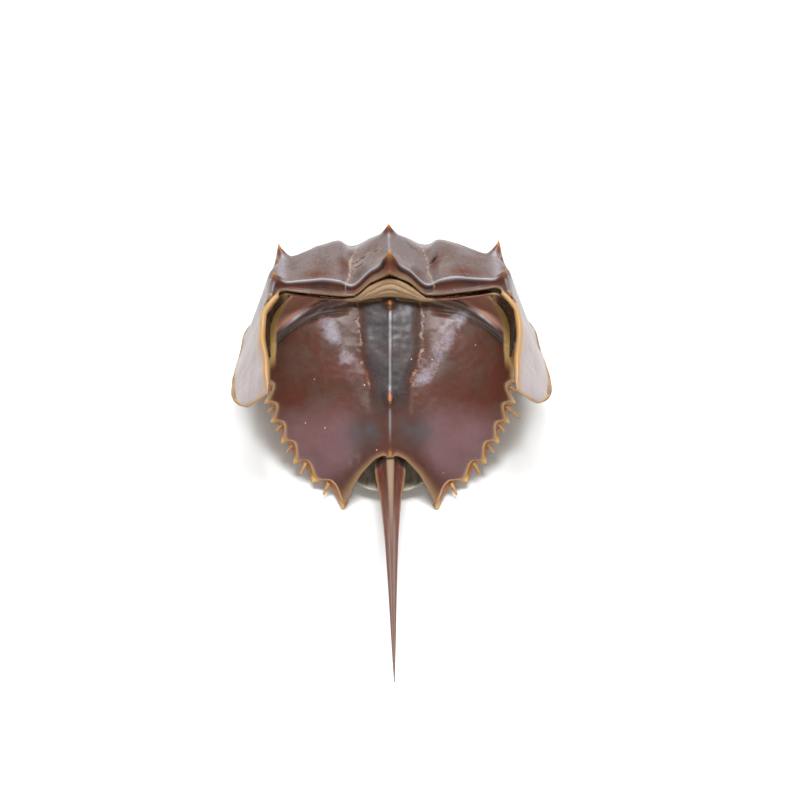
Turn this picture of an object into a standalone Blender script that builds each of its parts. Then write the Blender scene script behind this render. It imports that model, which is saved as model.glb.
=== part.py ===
"""Dried shell of a young horseshoe crab, resting on its front rim and its two rear points.

The head shield and the tail plate are each worked out in a frame of their own, in
millimetres: X to the side, Y to the front, Z up from the plane of the rim. Both are
then tilted into place, so that the shell is arched at its hinge.
"""

import math

import bmesh
import bpy
import mathutils
import numpy as np

MM = 0.001

# Pose of the two plates and of the tail
NOSE_DOWN = math.radians(18)
TAIL_DOWN = math.radians(21.48)
HEAD_TURN = math.radians(1.0)
HEAD_LENGTH = 31.0
HINGE_HEIGHT = 12.0
TAIL_PLATE_FRONT = 8.0

# Head shield, above its rim plane
HEAD_HALF_WIDTH = 28.4
HEAD_ARC_CENTRE = 4.0
SHELL_WALL = 0.8
FACE_DEPTH = 1.2
FLARE = 0.8
CORNER = 0.44
RESTING_ARC = 26.0
REST_MIDDLE = 27.8
SECTION_Y = (1.0, 6.0, 12.0, 18.0, 24.0)
SECTION_X = (0.0, 3.4, 7.2, 9.5, 12.6, 16.0, 19.0, 21.0)
SECTION_HEIGHTS = (
    (19.1, 17.6, 14.3, 15.3, 15.8, 15.5, 15.3, 15.1),
    (18.9, 17.3, 15.3, 16.7, 16.5, 15.9, 15.5, 15.6),
    (19.5, 17.9, 15.8, 17.4, 16.7, 15.8, 15.6, 16.2),
    (15.7, 14.8, 13.5, 13.9, 13.0, 12.2, 11.9, 12.0),
    (11.3, 10.8, 10.0, 10.2, 9.6, 9.0, 8.7, 8.7),
)
INNER_STATIONS = (0, 0.06, 0.12, 0.16, 0.22, 0.30, 0.38, 0.44, 0.50, 0.58, 0.70, 0.85, 1)
INNER_MARGIN = (
    (0.0, -0.2, 16.9),
    (3.7, -0.2, 15.4),
    (7.0, -0.2, 12.7),
    (8.6, -0.2, 12.6),
    (12.4, -0.2, 13.0),
    (16.5, -0.2, 13.1),
    (19.6, -0.3, 13.3),
    (21.2, -1.4, 13.5),
    (22.6, -3.0, 13.1),
    (23.6, -5.5, 12.4),
    (23.8, -10.0, 10.7),
    (22.9, -17.0, 8.6),
    (22.3, -23.3, 5.7),
)
RIM_TURN_STATIONS = (0, 0.12, 0.22, 0.30, 0.38)
RIM_TURN = (0, 24, 44, 62, 84)
RIM_SIDE_STATIONS = (0.38, 0.44, 0.50, 0.58, 0.70, 0.85, 1)
RIM_SIDE = (
    (28.25, 6.8),
    (28.5, 1.0),
    (28.8, -2.2),
    (29.2, -5.5),
    (29.6, -10.5),
    (28.9, -16.8),
    (26.2, -21.2),
)
RIM_LIFT_Y = (-21.5, -18, -12, -2, 3, 9, 16, 22)
RIM_LIFT = (1.6, 1.0, 0.5, 0.2, 0, -0.6, -1.4, -1.9)
SHOULDER_STATIONS = (0, 0.2, 0.3, 0.38, 0.44, 0.5, 1)
SHOULDER = (13, 12.5, 10.2, 7.6, 6.9, 4.5, 2.6)
STEEP_STATIONS = (0, 0.22, 0.30, 0.38, 0.44)
STEEPNESS = (1.75, 1.8, 2.0, 2.35, 2.1)
BLEND_STATIONS = (0, 0.2, 0.3, 0.37, 0.5)
BLEND = (5, 4.5, 2.5, 0.8, 0.6)
FOLD_STATIONS = (0, 0.3, 0.6, 1)
FOLD = (3.2, 2.6, 1.6, 0.9)
LOBE_ROUNDING = 1.3
ABOVE_LOBE = 12.0

# Spines of the head shield: foot, tip, reach along the surface
SPINE_SHARPNESS = 1.6
HEAD_SPINES = (
    ((0.0, 1.2), (0.0, 0.0, 22.3), 2.6),
    ((0.0, 12.4), (0.0, 11.9, 21.5), 2.0),
    ((0.0, 20.5), (0.0, 21.0, 15.6), 1.8),
    ((20.9, 1.0), (21.7, 0.1, 17.9), 1.7),
    ((20.6, 10.4), (20.9, 11.9, 17.7), 2.2),
)

# Tail plate
MID_STATIONS = (0, 0.16, 0.40, 0.63, 0.82, 1)
MID_Y = (0.0, -5.0, -12.0, -19.2, -25.0, -30.4)
MID_HEIGHT = (7.3, 7.8, 8.0, 7.7, 6.9, 5.8)
SIDE_STATIONS = (0, 0.06, 0.12, 0.18, 0.27, 0.38)
SIDE = (
    (19.6, 2.2, 4.4),
    (21.2, 0.5, 3.4),
    (22.3, -1.6, 2.8),
    (22.9, -4.0, 2.3),
    (23.2, -8.0, 1.7),
    (23.0, -13.2, 1.4),
)
TEETH = (
    (24.1, -13.8, 0.3),
    (23.7, -18.2, 0.3),
    (22.45, -22.1, 0.3),
    (20.45, -26.1, 0.3),
    (18.0, -30.1, 0.3),
    (14.4, -33.7, 0.3),
    (8.9, -39.3, 0.9),
)
TOOTH_SHARES = (0, 0.14, 0.5, 0.8, 1)
TOOTH_UPPER = (1.15, 2.3, 2.1, 1.5, 1.15)
TOOTH_LOWER = (0.0, 1.55, 1.3, 0.55, 0.0)
TOOTH_DROP = 1.1
LAST_TOOTH_TOP = (-0.35, 1.1, 0.7)
SIDE_DROP = (0.25, 0, -0.9)
OUTLINE_STATIONS = (0, 0.19, 0.38, 0.55, 0.75, 0.9, 1)
OUTLINE_X = (19.6, 22.9, 22.9, 21.4, 17.9, 12.4, 8.55)
OUTLINE_Y = (2.25, -4.5, -14, -20.5, -28.6, -34.5, -38.2)
VAULT = ((0, 0.4, 0.8, 1), (1.6, 2.2, 2.1, 1.6))
KEEL_HEIGHT = 0.9
KEEL_REACH = 5.6
FURROW = ((-30, -18, -15.3, -10.4, -0.9), (3.0, 3.95, 4.3, 5.8, 6.0))
FURROW_DEPTH = 0.4
RIDGE = ((6, 9, 12.6, 15.6, 18.6, 21.7, 23.8), (0.4, 0.2, -0.4, -1.9, -3.9, -6.2, -8))
RIDGE_HEIGHT = 0.7
GROOVE_DEPTH = 0.6
GROOVE_BEHIND = 2.0
GROOVE_WIDTH = 1.2
FRONT_EDGE = ((0, 0.41, 0.63, 0.85, 1), (0, -0.8, -0.2, 0.4, 0))
EMBAYMENT = ((0, 0.2, 0.36, 0.59, 0.77, 1), (0, 1.5, 2.1, 2.1, 1.3, 0))
PLATE_SPINES = (
    ((0.0, -1.2), (0.0, -2.0, 9.9), 1.5),
    ((0.0, -19.2), (0.0, -21.2, 9.9), 1.7),
    ((0.0, -29.6), (0.0, -31.0, 6.9), 1.2),
)

# Tail spine
SPINE_ROOT = (0.0, -21.6, 5.3)
SPINE_RISE = math.radians(12)
SPINE_PLACES = (0.0, 2.0, 4.5, 8.0, 12.0, 17.0, 23.5, 29.5, 39.5, 49.5, 59.5)
SPINE_WIDTHS = (4.6, 6.2, 6.0, 5.2, 4.1, 3.4, 2.65, 2.15, 1.45, 0.85, 0.16)
SPINE_HEIGHT_SHARE = 0.72
SPINE_SECTION = ((0, 0.5), (0.1, 0.47), (0.24, 0.14), (0.5, -0.12), (0.32, -0.4), (0, -0.34))

# Movable spines: length on the left and on the right, front to rear
MOVABLE_LENGTHS = ((1.7, 1.7), (1.3, 2.9), (1.1, 1.1), (1.1, 1.1), (1.6, 1.7), (1.5, 1.6))
MOVABLE_RADIUS = 0.26
MOVABLE_TIP_RADIUS = 0.1
MOVABLE_LEAN = math.radians(20)
MOVABLE_PLACE = 0.3
MOVABLE_INSET = 1.0
MOVABLE_LIFT = 0.45

# Skin that joins the two plates at the hinge
SKIN_WALL = 0.4
SKIN_END = 0.385
SKIN_LOW_Y = ((0, 8.2, 12.5, 16.9, 19.85), (0.75, 0.85, 1.95, 3.05, 3.0))
SKIN_LOW_Z = ((0, 3, 6, 8.2, 12.5, 16.9, 19.85), (7.6, 7.1, 6.6, 6.4, 5.7, 4.6, 3.7))
SKIN_BULGE = ((0, 5, 7.5, 20), (1.1, 0.88, 0.28, 0.22))

# Gill leaves under the tail plate: a cover in front and five pairs behind it
GILL_COUNT = 6
GILL_REAR = -14.2
GILL_REAR_STEP = -2.65
GILL_LOW = 0.5
GILL_RISE = 0.35
GILL_LENGTH = 13.5
GILL_HALF_WIDTH = 11.5
GILL_NARROWING = 0.55
GILL_ARCH = 7.5
GILL_WALL = 0.25

# Fineness of the meshes
HEAD_STATIONS = 33
HEAD_CROWDING = 1.15
TOP_ROWS = 7
FLANK_ROWS = 6
TOOTH_STEPS = 5
SIDE_STEPS = 9
PLATE_COLUMNS = 10
PLATE_CROWDING = 1.35
GILL_STEPS = 5
SKIN_COLUMNS = 15
SKIN_ROWS = 5
MOVABLE_SIDES = 7


def through(knots, values, at):
    """Smooth curve through the values at the knots, which never overshoots them."""
    knots = np.asarray(knots, float)
    values = np.asarray(values, float)
    at = np.clip(np.atleast_1d(np.asarray(at, float)), knots[0], knots[-1])
    if values.ndim == 1:
        values = np.repeat(values[:, None], at.size, axis=1)
    slope = np.diff(values, axis=0) / np.diff(knots)[:, None]
    before, after = slope[:-1], slope[1:]
    total = before + after
    total[total == 0] = 1
    bend = np.where(before * after > 0, 2 * before * after / total, 0)
    tangent = np.vstack([slope[:1], bend, slope[-1:]])
    i = np.clip(np.searchsorted(knots, at, "right") - 1, 0, len(knots) - 2)
    n = np.arange(at.size)
    step = knots[i + 1] - knots[i]
    f = (at - knots[i]) / step
    start = values[i, n] * (1 + 2 * f) * (1 - f) ** 2
    end = values[i + 1, n] * f * f * (3 - 2 * f)
    bulge = tangent[i, n] * f * (1 - f) ** 2 - tangent[i + 1, n] * f * f * (1 - f)
    return start + end + step * bulge


def along(stations, points, at):
    """Points of the smooth curve through a list of points."""
    return np.stack([through(stations, axis, at) for axis in np.transpose(points)], axis=-1)


def ease(low, high, x):
    """0 up to low, 1 from high on, and a smooth step between."""
    f = np.clip((x - low) / (high - low), 0, 1)
    return f * f * (3 - 2 * f)


def soft_min(a, b, blend):
    """The lower of two heights, with the corner between them rounded."""
    near = np.maximum(blend - np.abs(a - b), 0) / blend
    return np.minimum(a, b) - near * near * blend / 4


def head_to_world(p):
    """From the head shield's frame to the object's, in millimetres."""
    c, s = math.cos(NOSE_DOWN), math.sin(NOSE_DOWN)
    y = p[..., 1] * c + p[..., 2] * s
    z = (HEAD_LENGTH - p[..., 1]) * s + p[..., 2] * c
    return np.stack([p[..., 0], y, z], axis=-1)


def plate_to_world(p):
    """From the tail plate's frame to the object's, in millimetres."""
    hinge = head_to_world(np.array([0.0, 0.0, HINGE_HEIGHT]))
    c, s = math.cos(TAIL_DOWN), math.sin(TAIL_DOWN)
    up = p[..., 2] - TAIL_PLATE_FRONT
    y = hinge[1] + p[..., 1] * c - up * s
    z = hinge[2] + p[..., 1] * s + up * c
    return np.stack([p[..., 0], y, z], axis=-1)


def head_rim(s):
    """Lower rim of the head shield: an arc in front, then a curve along the side."""
    turn = np.radians(through(RIM_TURN_STATIONS, RIM_TURN, s))
    reach = HEAD_LENGTH - HEAD_ARC_CENTRE
    front_y = HEAD_ARC_CENTRE + reach * np.cos(turn)
    front = np.stack([HEAD_HALF_WIDTH * np.sin(turn), front_y], axis=-1)
    side = along(RIM_SIDE_STATIONS, RIM_SIDE, s)
    return np.where((s < RIM_SIDE_STATIONS[0])[..., None], front, side)


def rim_height(y):
    """Height of the rim: flat on the ground in front, level further back, up at the tips."""
    on_ground = -(HEAD_LENGTH - y) * math.tan(NOSE_DOWN)
    low = -(HEAD_LENGTH - RESTING_ARC) * math.tan(NOSE_DOWN)
    behind = through((*RIM_LIFT_Y, RESTING_ARC), (*RIM_LIFT, low), y)
    return np.where(y > RESTING_ARC, on_ground, behind)


def top_height(x, y):
    """Height of the head shield's upper field, from its five cross-sections."""
    sections = [through(SECTION_X, heights, x) for heights in SECTION_HEIGHTS]
    return through(SECTION_Y, np.array(sections), y)


def head_point(s, d, length):
    """A point of the head shield's outer face, d from the rim along the rib at station s."""
    inner = along(INNER_STATIONS, INNER_MARGIN, s)
    rim = head_rim(s)
    share = (1 - d / length)[:, None]
    plan = inner[:, :2] + (rim - inner[:, :2]) * share
    plan[:, 1:] -= LOBE_ROUNDING * 4 * share * (1 - share) * ease(0.8, 1, s)[:, None]
    low = rim_height(rim[:, 1])
    to_margin = (inner[:, 2] - low) / (length - FLARE)
    steepness = np.where(s < CORNER, through(STEEP_STATIONS, STEEPNESS, s), to_margin)
    flank = low + steepness * (d - FLARE * (1 - np.exp(-d / FLARE)))
    top = top_height(plan[:, 0], plan[:, 1]) + ABOVE_LOBE * ease(0.41, 0.5, s)
    return np.column_stack([plan, soft_min(top, flank, through(BLEND_STATIONS, BLEND, s))])


def raise_spines(points, spines):
    """Pulls the mesh point nearest each spine's foot out to the spine's tip."""
    for foot, tip, reach in spines:
        apart = np.hypot(points[..., 0] - foot[0], points[..., 1] - foot[1])
        pull = np.clip(1 - apart / reach, 0, 1) ** SPINE_SHARPNESS
        nearest = np.unravel_index(np.argmin(apart), apart.shape)
        away = np.array(tip) - points[nearest]
        pull[nearest] = 1
        points += pull[..., None] * away
    return points


def half_sheet(name, points):
    """Open sheet on a grid of points, in millimetres: from the mid-plane out, and from the rear forwards."""
    columns, rows = points.shape[:2]
    mesh = bmesh.new()
    bmesh.ops.create_grid(mesh, x_segments=columns - 1, y_segments=rows - 1, size=1)
    for v in mesh.verts:
        i = round((v.co.x + 1) / 2 * (columns - 1))
        j = round((v.co.y + 1) / 2 * (rows - 1))
        v.co = points[i, j] * MM
    data = bpy.data.meshes.new(name)
    mesh.to_mesh(data)
    mesh.free()
    return data


def new_object(name, data, material, collection):
    """Places a mesh in the object's collection with its material, shaded smooth."""
    thing = bpy.data.objects.new(name, data)
    thing.data.materials.clear()
    thing.data.materials.append(material)
    collection.objects.link(thing)
    data.shade_smooth()
    data.set_sharp_from_angle(angle=math.radians(40))
    return thing


def mirror_and_thicken(thing, wall):
    """Makes a half sheet whole across the mid-plane and gives it its wall, inwards."""
    mirror = thing.modifiers.new("Other side", "MIRROR")
    mirror.use_axis = (True, False, False)
    mirror.merge_threshold = 1e-5
    solid = thing.modifiers.new("Wall", "SOLIDIFY")
    solid.thickness = wall * MM
    solid.offset = -1


def principled(name, colour, roughness):
    """Plain material of one colour."""
    material = bpy.data.materials.new(name)
    material.use_nodes = True
    shader = material.node_tree.nodes["Principled BSDF"]
    shader.inputs["Base Color"].default_value = (*colour, 1)
    shader.inputs["Roughness"].default_value = roughness
    shader.inputs["Metallic"].default_value = 0
    return material


def build_prosoma(material, collection):
    """Head shield: domed, with a keeled middle lobe, two furrows, eye ridges and a folded rim."""
    stations = np.linspace(0, 1, HEAD_STATIONS) ** HEAD_CROWDING
    shoulder = through(SHOULDER_STATIONS, SHOULDER, stations)
    inner = along(INNER_STATIONS, INNER_MARGIN, stations)
    rim = head_rim(stations)
    length = np.hypot(*(rim - inner[:, :2]).T)
    rows = [inner]
    for share in np.linspace(0, 1, TOP_ROWS, endpoint=False):
        d = (length - FACE_DEPTH) * (1 - share) + shoulder * share
        rows.append(head_point(stations, d, length))
    for share in np.linspace(1, 0, FLANK_ROWS + 1):
        rows.append(head_point(stations, shoulder * share, length))
    points = np.stack(rows, axis=1)
    points[:, 1:] = raise_spines(points[:, 1:], HEAD_SPINES)
    points[0, :, 0] = 0
    inward = (inner[:, :2] - rim) / length[:, None]
    folded = rim + inward * through(FOLD_STATIONS, FOLD, stations)[:, None]
    on_ground = -(HEAD_LENGTH - folded[:, 1]) * math.tan(NOSE_DOWN)
    level = np.where(rim[:, 1] > RESTING_ARC, on_ground, rim_height(rim[:, 1]))
    doublure = np.column_stack([folded, level])[:, None]
    world = head_to_world(np.concatenate([points, doublure], axis=1))
    thing = new_object("prosoma", half_sheet("prosoma", world), material, collection)
    mirror_and_thicken(thing, SHELL_WALL)
    pivot = head_to_world(np.array([0.0, 0.0, HINGE_HEIGHT]))[1] * MM
    thing.rotation_euler.z = HEAD_TURN
    thing.location = (pivot * math.sin(HEAD_TURN), pivot * (1 - math.cos(HEAD_TURN)), 0)


def tooth_margin(shares):
    """Upper and lower edge of the toothed margin, tooth by tooth, from front to rear."""
    upper, lower = [], []
    for front, rear in zip(np.array(TEETH[:-1]), np.array(TEETH[1:])):
        run = (rear - front)[:2] / np.hypot(*(rear - front)[:2])
        inward = np.array([run[1], -run[0]])
        for w in shares:
            base = front + (rear - front) * w
            deep = through(TOOTH_SHARES, TOOTH_UPPER, w)[0]
            edge = through(TOOTH_SHARES, TOOTH_LOWER, w)[0]
            upper.append([*(base[:2] + inward * deep), base[2] + TOOTH_DROP])
            lower.append([*(base[:2] + inward * edge), base[2]])
    return np.array(upper), np.array(lower)


def plate_relief(x, y):
    """Keel, furrow beside it, and the arched ridge with its groove, above the plain vault."""
    keel = KEEL_HEIGHT * np.clip(1 - x / KEEL_REACH, 0, 1) ** 1.4
    furrow = -FURROW_DEPTH * np.exp(-((x - through(*FURROW, y)) ** 2)) * ease(-24, -19, y)
    behind = y - through(*RIDGE, x)
    arch = RIDGE_HEIGHT * np.exp(-(behind ** 2))
    arch -= GROOVE_DEPTH * np.exp(-(((behind + GROOVE_BEHIND) / GROOVE_WIDTH) ** 2))
    return keel + furrow + arch * ease(6, 10, x) * (1 - ease(20, 23.5, x))


def build_opisthosoma(material, collection):
    """Tail plate: keeled and vaulted, with a toothed margin that ends in two points."""
    side_stations = np.linspace(0, SIDE_STATIONS[-1], SIDE_STEPS, endpoint=False)
    side = along(SIDE_STATIONS, SIDE, side_stations)
    upper, lower = tooth_margin(np.linspace(0, 1, TOOTH_STEPS, endpoint=False))
    last = np.array(TEETH[-1])
    upper = np.vstack([side, upper, last + LAST_TOOTH_TOP])
    lower = np.vstack([side + SIDE_DROP, lower, last])
    toothed = np.linspace(SIDE_STATIONS[-1], 1, (len(TEETH) - 1) * TOOTH_STEPS + 1)
    stations = np.concatenate([side_stations, toothed])
    y_mid = through(MID_STATIONS, MID_Y, stations)
    z_mid = through(MID_STATIONS, MID_HEIGHT, stations)
    outline_x = through(OUTLINE_STATIONS, OUTLINE_X, stations)
    outline_y = through(OUTLINE_STATIONS, OUTLINE_Y, stations)
    fall = through(*VAULT, stations)
    rows = []
    for u in np.linspace(0, 1, PLATE_COLUMNS) ** PLATE_CROWDING:
        x = outline_x * u + (upper[:, 0] - outline_x) * u ** 8
        y = y_mid + (outline_y - y_mid) * u + (upper[:, 1] - outline_y) * u ** 6
        y += through(*EMBAYMENT, u)[0] * stations ** 5
        y += through(*FRONT_EDGE, u)[0] * (1 - stations) ** 6
        z = z_mid - (z_mid - upper[:, 2]) * u ** fall
        rows.append(np.column_stack([x, y, z + plate_relief(x, y)]))
    points = raise_spines(np.stack(rows), PLATE_SPINES)
    points[0, :, 0] = 0
    under = lower + (upper - lower) * (0.9, 0.9, 0) + (0, 0, -0.1)
    points = np.concatenate([points, lower[None], under[None]])
    world = plate_to_world(points)[:, ::-1]
    thing = new_object("opisthosoma", half_sheet("opisthosoma", world), material, collection)
    mirror_and_thicken(thing, SHELL_WALL)


def build_hinge_membrane(material, collection):
    """Skin between the two plates, which bulges in the middle under the raised lobe."""
    stations = np.linspace(0, SKIN_END, SKIN_COLUMNS)
    above = along(INNER_STATIONS, INNER_MARGIN, stations)
    x = above[:, 0]
    top = head_to_world(above + (0, 0.2, -SHELL_WALL - 0.1))
    plate_edge = np.column_stack([x, through(*SKIN_LOW_Y, x), through(*SKIN_LOW_Z, x)])
    bottom = plate_to_world(plate_edge)
    bulge = through(*SKIN_BULGE, x)
    rows = []
    for w in np.linspace(1, 0, SKIN_ROWS):
        row = top * (1 - w) + bottom * w
        row[:, 1] -= bulge * math.sin(math.pi * w) ** 0.8
        rows.append(row)
    data = half_sheet("hinge_membrane", np.stack(rows, axis=1))
    thing = new_object("hinge_membrane", data, material, collection)
    mirror_and_thicken(thing, SKIN_WALL)


def build_telson(material, collection):
    """Tail spine: a long keeled three-sided spike with a swollen root."""
    right = np.array(SPINE_SECTION)
    left = right[-2:0:-1] * (-1, 1)
    around = np.vstack([right, left, right[:1]])
    places = np.array(SPINE_PLACES)
    widths = np.array(SPINE_WIDTHS)
    along_spine = np.array([0, -math.cos(SPINE_RISE), math.sin(SPINE_RISE)])
    upward = np.array([0, math.sin(SPINE_RISE), math.cos(SPINE_RISE)])
    centre = np.array(SPINE_ROOT) + places[:, None] * along_spine
    ring = around[:, None, :] * widths[None, :, None]
    points = centre + ring[..., :1] * (1, 0, 0) + ring[..., 1:] * SPINE_HEIGHT_SHARE * upward
    data = half_sheet("telson", points)
    mesh = bmesh.new()
    mesh.from_mesh(data)
    bmesh.ops.remove_doubles(mesh, verts=mesh.verts, dist=1e-6)
    bmesh.ops.holes_fill(mesh, edges=mesh.edges)
    bmesh.ops.recalc_face_normals(mesh, faces=mesh.faces)
    mesh.to_mesh(data)
    mesh.free()
    new_object("telson", data, material, collection)


def build_movable_spines(material, collection):
    """One slim spine in each notch of the toothed margin, standing out and to the rear."""
    for tooth, lengths in enumerate(MOVABLE_LENGTHS):
        front, rear = np.array(TEETH[tooth]), np.array(TEETH[tooth + 1])
        run = (rear - front)[:2] / np.hypot(*(rear - front)[:2])
        outward = np.array([-run[1], run[0]])
        lean = outward * math.cos(MOVABLE_LEAN) + run * math.sin(MOVABLE_LEAN)
        foot = front + (rear - front) * MOVABLE_PLACE
        foot[:2] -= outward * MOVABLE_INSET
        foot[2] += MOVABLE_LIFT
        for side, length in zip((-1, 1), lengths):
            tip = foot + (*(lean * length), -0.25)
            ends = [plate_to_world(p) * (side, 1, 1) * MM for p in (foot, tip)]
            axis = mathutils.Vector(ends[1] - ends[0])
            mesh = bmesh.new()
            bmesh.ops.create_cone(
                mesh, cap_ends=True, segments=MOVABLE_SIDES, radius1=MOVABLE_RADIUS * MM,
                radius2=MOVABLE_TIP_RADIUS * MM, depth=axis.length,
            )
            name = f"movable_spine_{'left' if side < 0 else 'right'}_{tooth + 1}"
            data = bpy.data.meshes.new(name)
            mesh.to_mesh(data)
            mesh.free()
            thing = new_object(name, data, material, collection)
            thing.location = (ends[0] + ends[1]) / 2
            thing.rotation_euler = axis.to_track_quat("Z", "Y").to_euler()


def build_gills(material, collection):
    """Thin two-lobed leaves under the tail plate, each one reaching further back than the last."""
    for leaf in range(GILL_COUNT):
        rear = GILL_REAR + GILL_REAR_STEP * leaf
        low = GILL_LOW + GILL_RISE * leaf
        rows = []
        for back in np.linspace(1, 0, GILL_STEPS):
            across = np.linspace(0, 1, GILL_STEPS)
            width = GILL_HALF_WIDTH - GILL_NARROWING * leaf - 1.5 * back
            ahead = GILL_LENGTH * (1 - back)
            y = rear + ahead + back * (3.6 * across ** 3 + 1.0 * (1 - across) ** 6)
            z = low + 0.05 * ahead + GILL_ARCH * (ahead / GILL_LENGTH) ** 4
            rows.append(np.column_stack([across * width, y, np.full(GILL_STEPS, z)]))
        name = "genital_operculum" if leaf == 0 else f"gill_plate_{leaf}"
        data = half_sheet(name, np.stack(rows, axis=1))
        mirror_and_thicken(new_object(name, data, material, collection), GILL_WALL)


def set_on_rest(collection):
    """Hangs every piece on one empty, so that the origin is the middle of the flat strip in front."""
    strip_height = -(HEAD_LENGTH - REST_MIDDLE) * math.tan(NOSE_DOWN)
    strip = head_to_world(np.array([0.0, REST_MIDDLE, strip_height]))
    pieces = list(collection.objects)
    hub = bpy.data.objects.new("shell_frame", None)
    collection.objects.link(hub)
    hub.location.y = -strip[1] * MM
    for thing in pieces:
        thing.parent = hub


def main():
    for thing in list(bpy.data.objects):
        bpy.data.objects.remove(thing, do_unlink=True)
    shell = bpy.data.collections.new("horseshoe crab shell")
    bpy.context.scene.collection.children.link(shell)
    horn = principled("head shield horn", (0.165, 0.115, 0.12), 0.35)
    plate = principled("tail plate horn", (0.10, 0.045, 0.038), 0.3)
    build_prosoma(horn, shell)
    build_opisthosoma(plate, shell)
    skin = principled("hinge skin", (0.42, 0.29, 0.17), 0.5)
    amber = principled("amber horn", (0.55, 0.27, 0.07), 0.35)
    leaf = principled("gill leaf", (0.33, 0.32, 0.24), 0.4)
    build_hinge_membrane(skin, shell)
    build_telson(plate, shell)
    build_movable_spines(amber, shell)
    build_gills(leaf, shell)
    set_on_rest(shell)


main()
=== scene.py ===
"""Looks of the dried horseshoe crab shell: fine surfaces, finishes, camera, light and floor."""

import math

import bmesh
import bpy
import numpy as np
from bpy.props import FloatProperty, FloatVectorProperty, PointerProperty
from mathutils import Matrix, Vector


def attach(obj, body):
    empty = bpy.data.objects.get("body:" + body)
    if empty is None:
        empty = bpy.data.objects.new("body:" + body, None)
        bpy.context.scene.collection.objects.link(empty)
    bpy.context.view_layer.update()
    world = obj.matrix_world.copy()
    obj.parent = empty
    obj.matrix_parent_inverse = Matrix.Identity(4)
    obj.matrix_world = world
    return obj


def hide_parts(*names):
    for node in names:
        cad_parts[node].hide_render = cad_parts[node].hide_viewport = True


bl_info = {
    "name": "Horseshoe crab shell",
    "version": (1, 0, 0),
    "blender": (4, 5, 0),
    "location": "3D View > Sidebar > Shell",
    "description": "Models the dried shell of a young horseshoe crab with its finishes",
    "category": "Add Mesh",
}

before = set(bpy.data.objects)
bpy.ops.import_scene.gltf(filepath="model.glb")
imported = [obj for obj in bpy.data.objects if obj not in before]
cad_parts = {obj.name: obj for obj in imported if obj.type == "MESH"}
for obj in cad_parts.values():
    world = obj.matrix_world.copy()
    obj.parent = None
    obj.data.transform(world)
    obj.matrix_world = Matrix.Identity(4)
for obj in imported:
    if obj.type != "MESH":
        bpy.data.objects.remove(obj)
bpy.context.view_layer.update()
MM = 0.001

# Pose of the two plates, as the solids have it
NOSE_DOWN = math.radians(18)
TAIL_DOWN = math.radians(21.48)
HEAD_TURN = math.radians(1.0)
HEAD_LENGTH = 31.0
HINGE_HEIGHT = 12.0
TAIL_PLATE_FRONT = 8.0
REST_MIDDLE = 27.8

# Head shield, in a frame of its own: X to the side, Y to the front, Z up from the rim's plane
HEAD_HALF_WIDTH = 28.4
HEAD_ARC_CENTRE = 4.0
SHELL_WALL = 0.8
FACE_DEPTH = 1.2
FLARE = 0.8
RESTING_ARC = 26.0
SECTION_Y = (1.0, 6.0, 12.0, 18.0, 24.0)
SECTION_X = (0.0, 3.4, 7.2, 9.5, 12.6, 16.0, 19.0, 21.0)
SECTION_HEIGHTS = (
    (19.1, 17.6, 14.3, 15.3, 15.8, 15.5, 15.3, 15.1),
    (18.9, 17.3, 15.3, 16.7, 16.5, 15.9, 15.5, 15.6),
    (19.5, 17.9, 15.8, 17.4, 16.7, 15.8, 15.6, 16.2),
    (15.7, 14.8, 13.5, 13.9, 13.0, 12.2, 11.9, 12.0),
    (11.3, 10.8, 10.0, 10.2, 9.6, 9.0, 8.7, 8.7),
)
INNER_STATIONS = (0, 0.06, 0.12, 0.16, 0.22, 0.30, 0.38, 0.44, 0.50, 0.58, 0.70, 0.85, 1)
INNER_MARGIN = (
    (0.0, -0.2, 16.9),
    (3.7, -0.2, 15.4),
    (7.0, -0.2, 12.7),
    (8.6, -0.2, 12.6),
    (12.4, -0.2, 13.0),
    (16.5, -0.2, 13.5),
    (19.6, -0.3, 14.1),
    (21.2, -1.4, 13.9),
    (22.6, -3.0, 13.1),
    (23.6, -5.5, 12.4),
    (23.8, -10.0, 10.7),
    (22.9, -17.0, 8.6),
    (22.5, -23.0, 5.6),
)
RIM_TURN_STATIONS = (0, 0.12, 0.22, 0.30, 0.38)
RIM_TURN = (0, 24, 44, 62, 84)
RIM_SIDE_STATIONS = (0.38, 0.44, 0.50, 0.58, 0.70, 0.80, 0.88, 0.94, 0.98, 1)
RIM_SIDE = (
    (28.25, 6.8),
    (28.5, 1.0),
    (28.8, -2.2),
    (29.2, -5.5),
    (29.6, -10.5),
    (29.6, -14.4),
    (29.2, -17.3),
    (28.3, -19.6),
    (27.2, -20.8),
    (26.3, -21.2),
)
RIM_LIFT_Y = (-21.5, -18, -12, -2, 3, 9, 16, 22)
RIM_LIFT = (1.6, 1.0, 0.5, 0.2, 0, -0.6, -1.4, -1.9)
SHOULDER_STATIONS = (0, 0.2, 0.3, 0.38, 0.44, 0.5, 1)
SHOULDER = (13, 12.5, 10.2, 7.6, 6.9, 4.5, 2.6)
STEEP_STATIONS = (0, 0.22, 0.30, 0.38, 0.44)
STEEPNESS = (1.75, 1.8, 2.0, 2.35, 2.1)
BLEND_STATIONS = (0, 0.2, 0.3, 0.37, 0.5)
BLEND = (5, 4.5, 2.5, 0.8, 0.6)
FOLD_STATIONS = (0, 0.3, 0.6, 0.85, 0.95, 1)
FOLD = (3.2, 2.6, 1.6, 1.0, 0.45, 0.1)
FOLD_LIFT = 0.5
LOBE_ROUNDING = 0.25
ABOVE_LOBE = 12.0
FLANK_BULGE = 0.8
FLANK_BULGE_PLACE = 0.56
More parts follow.
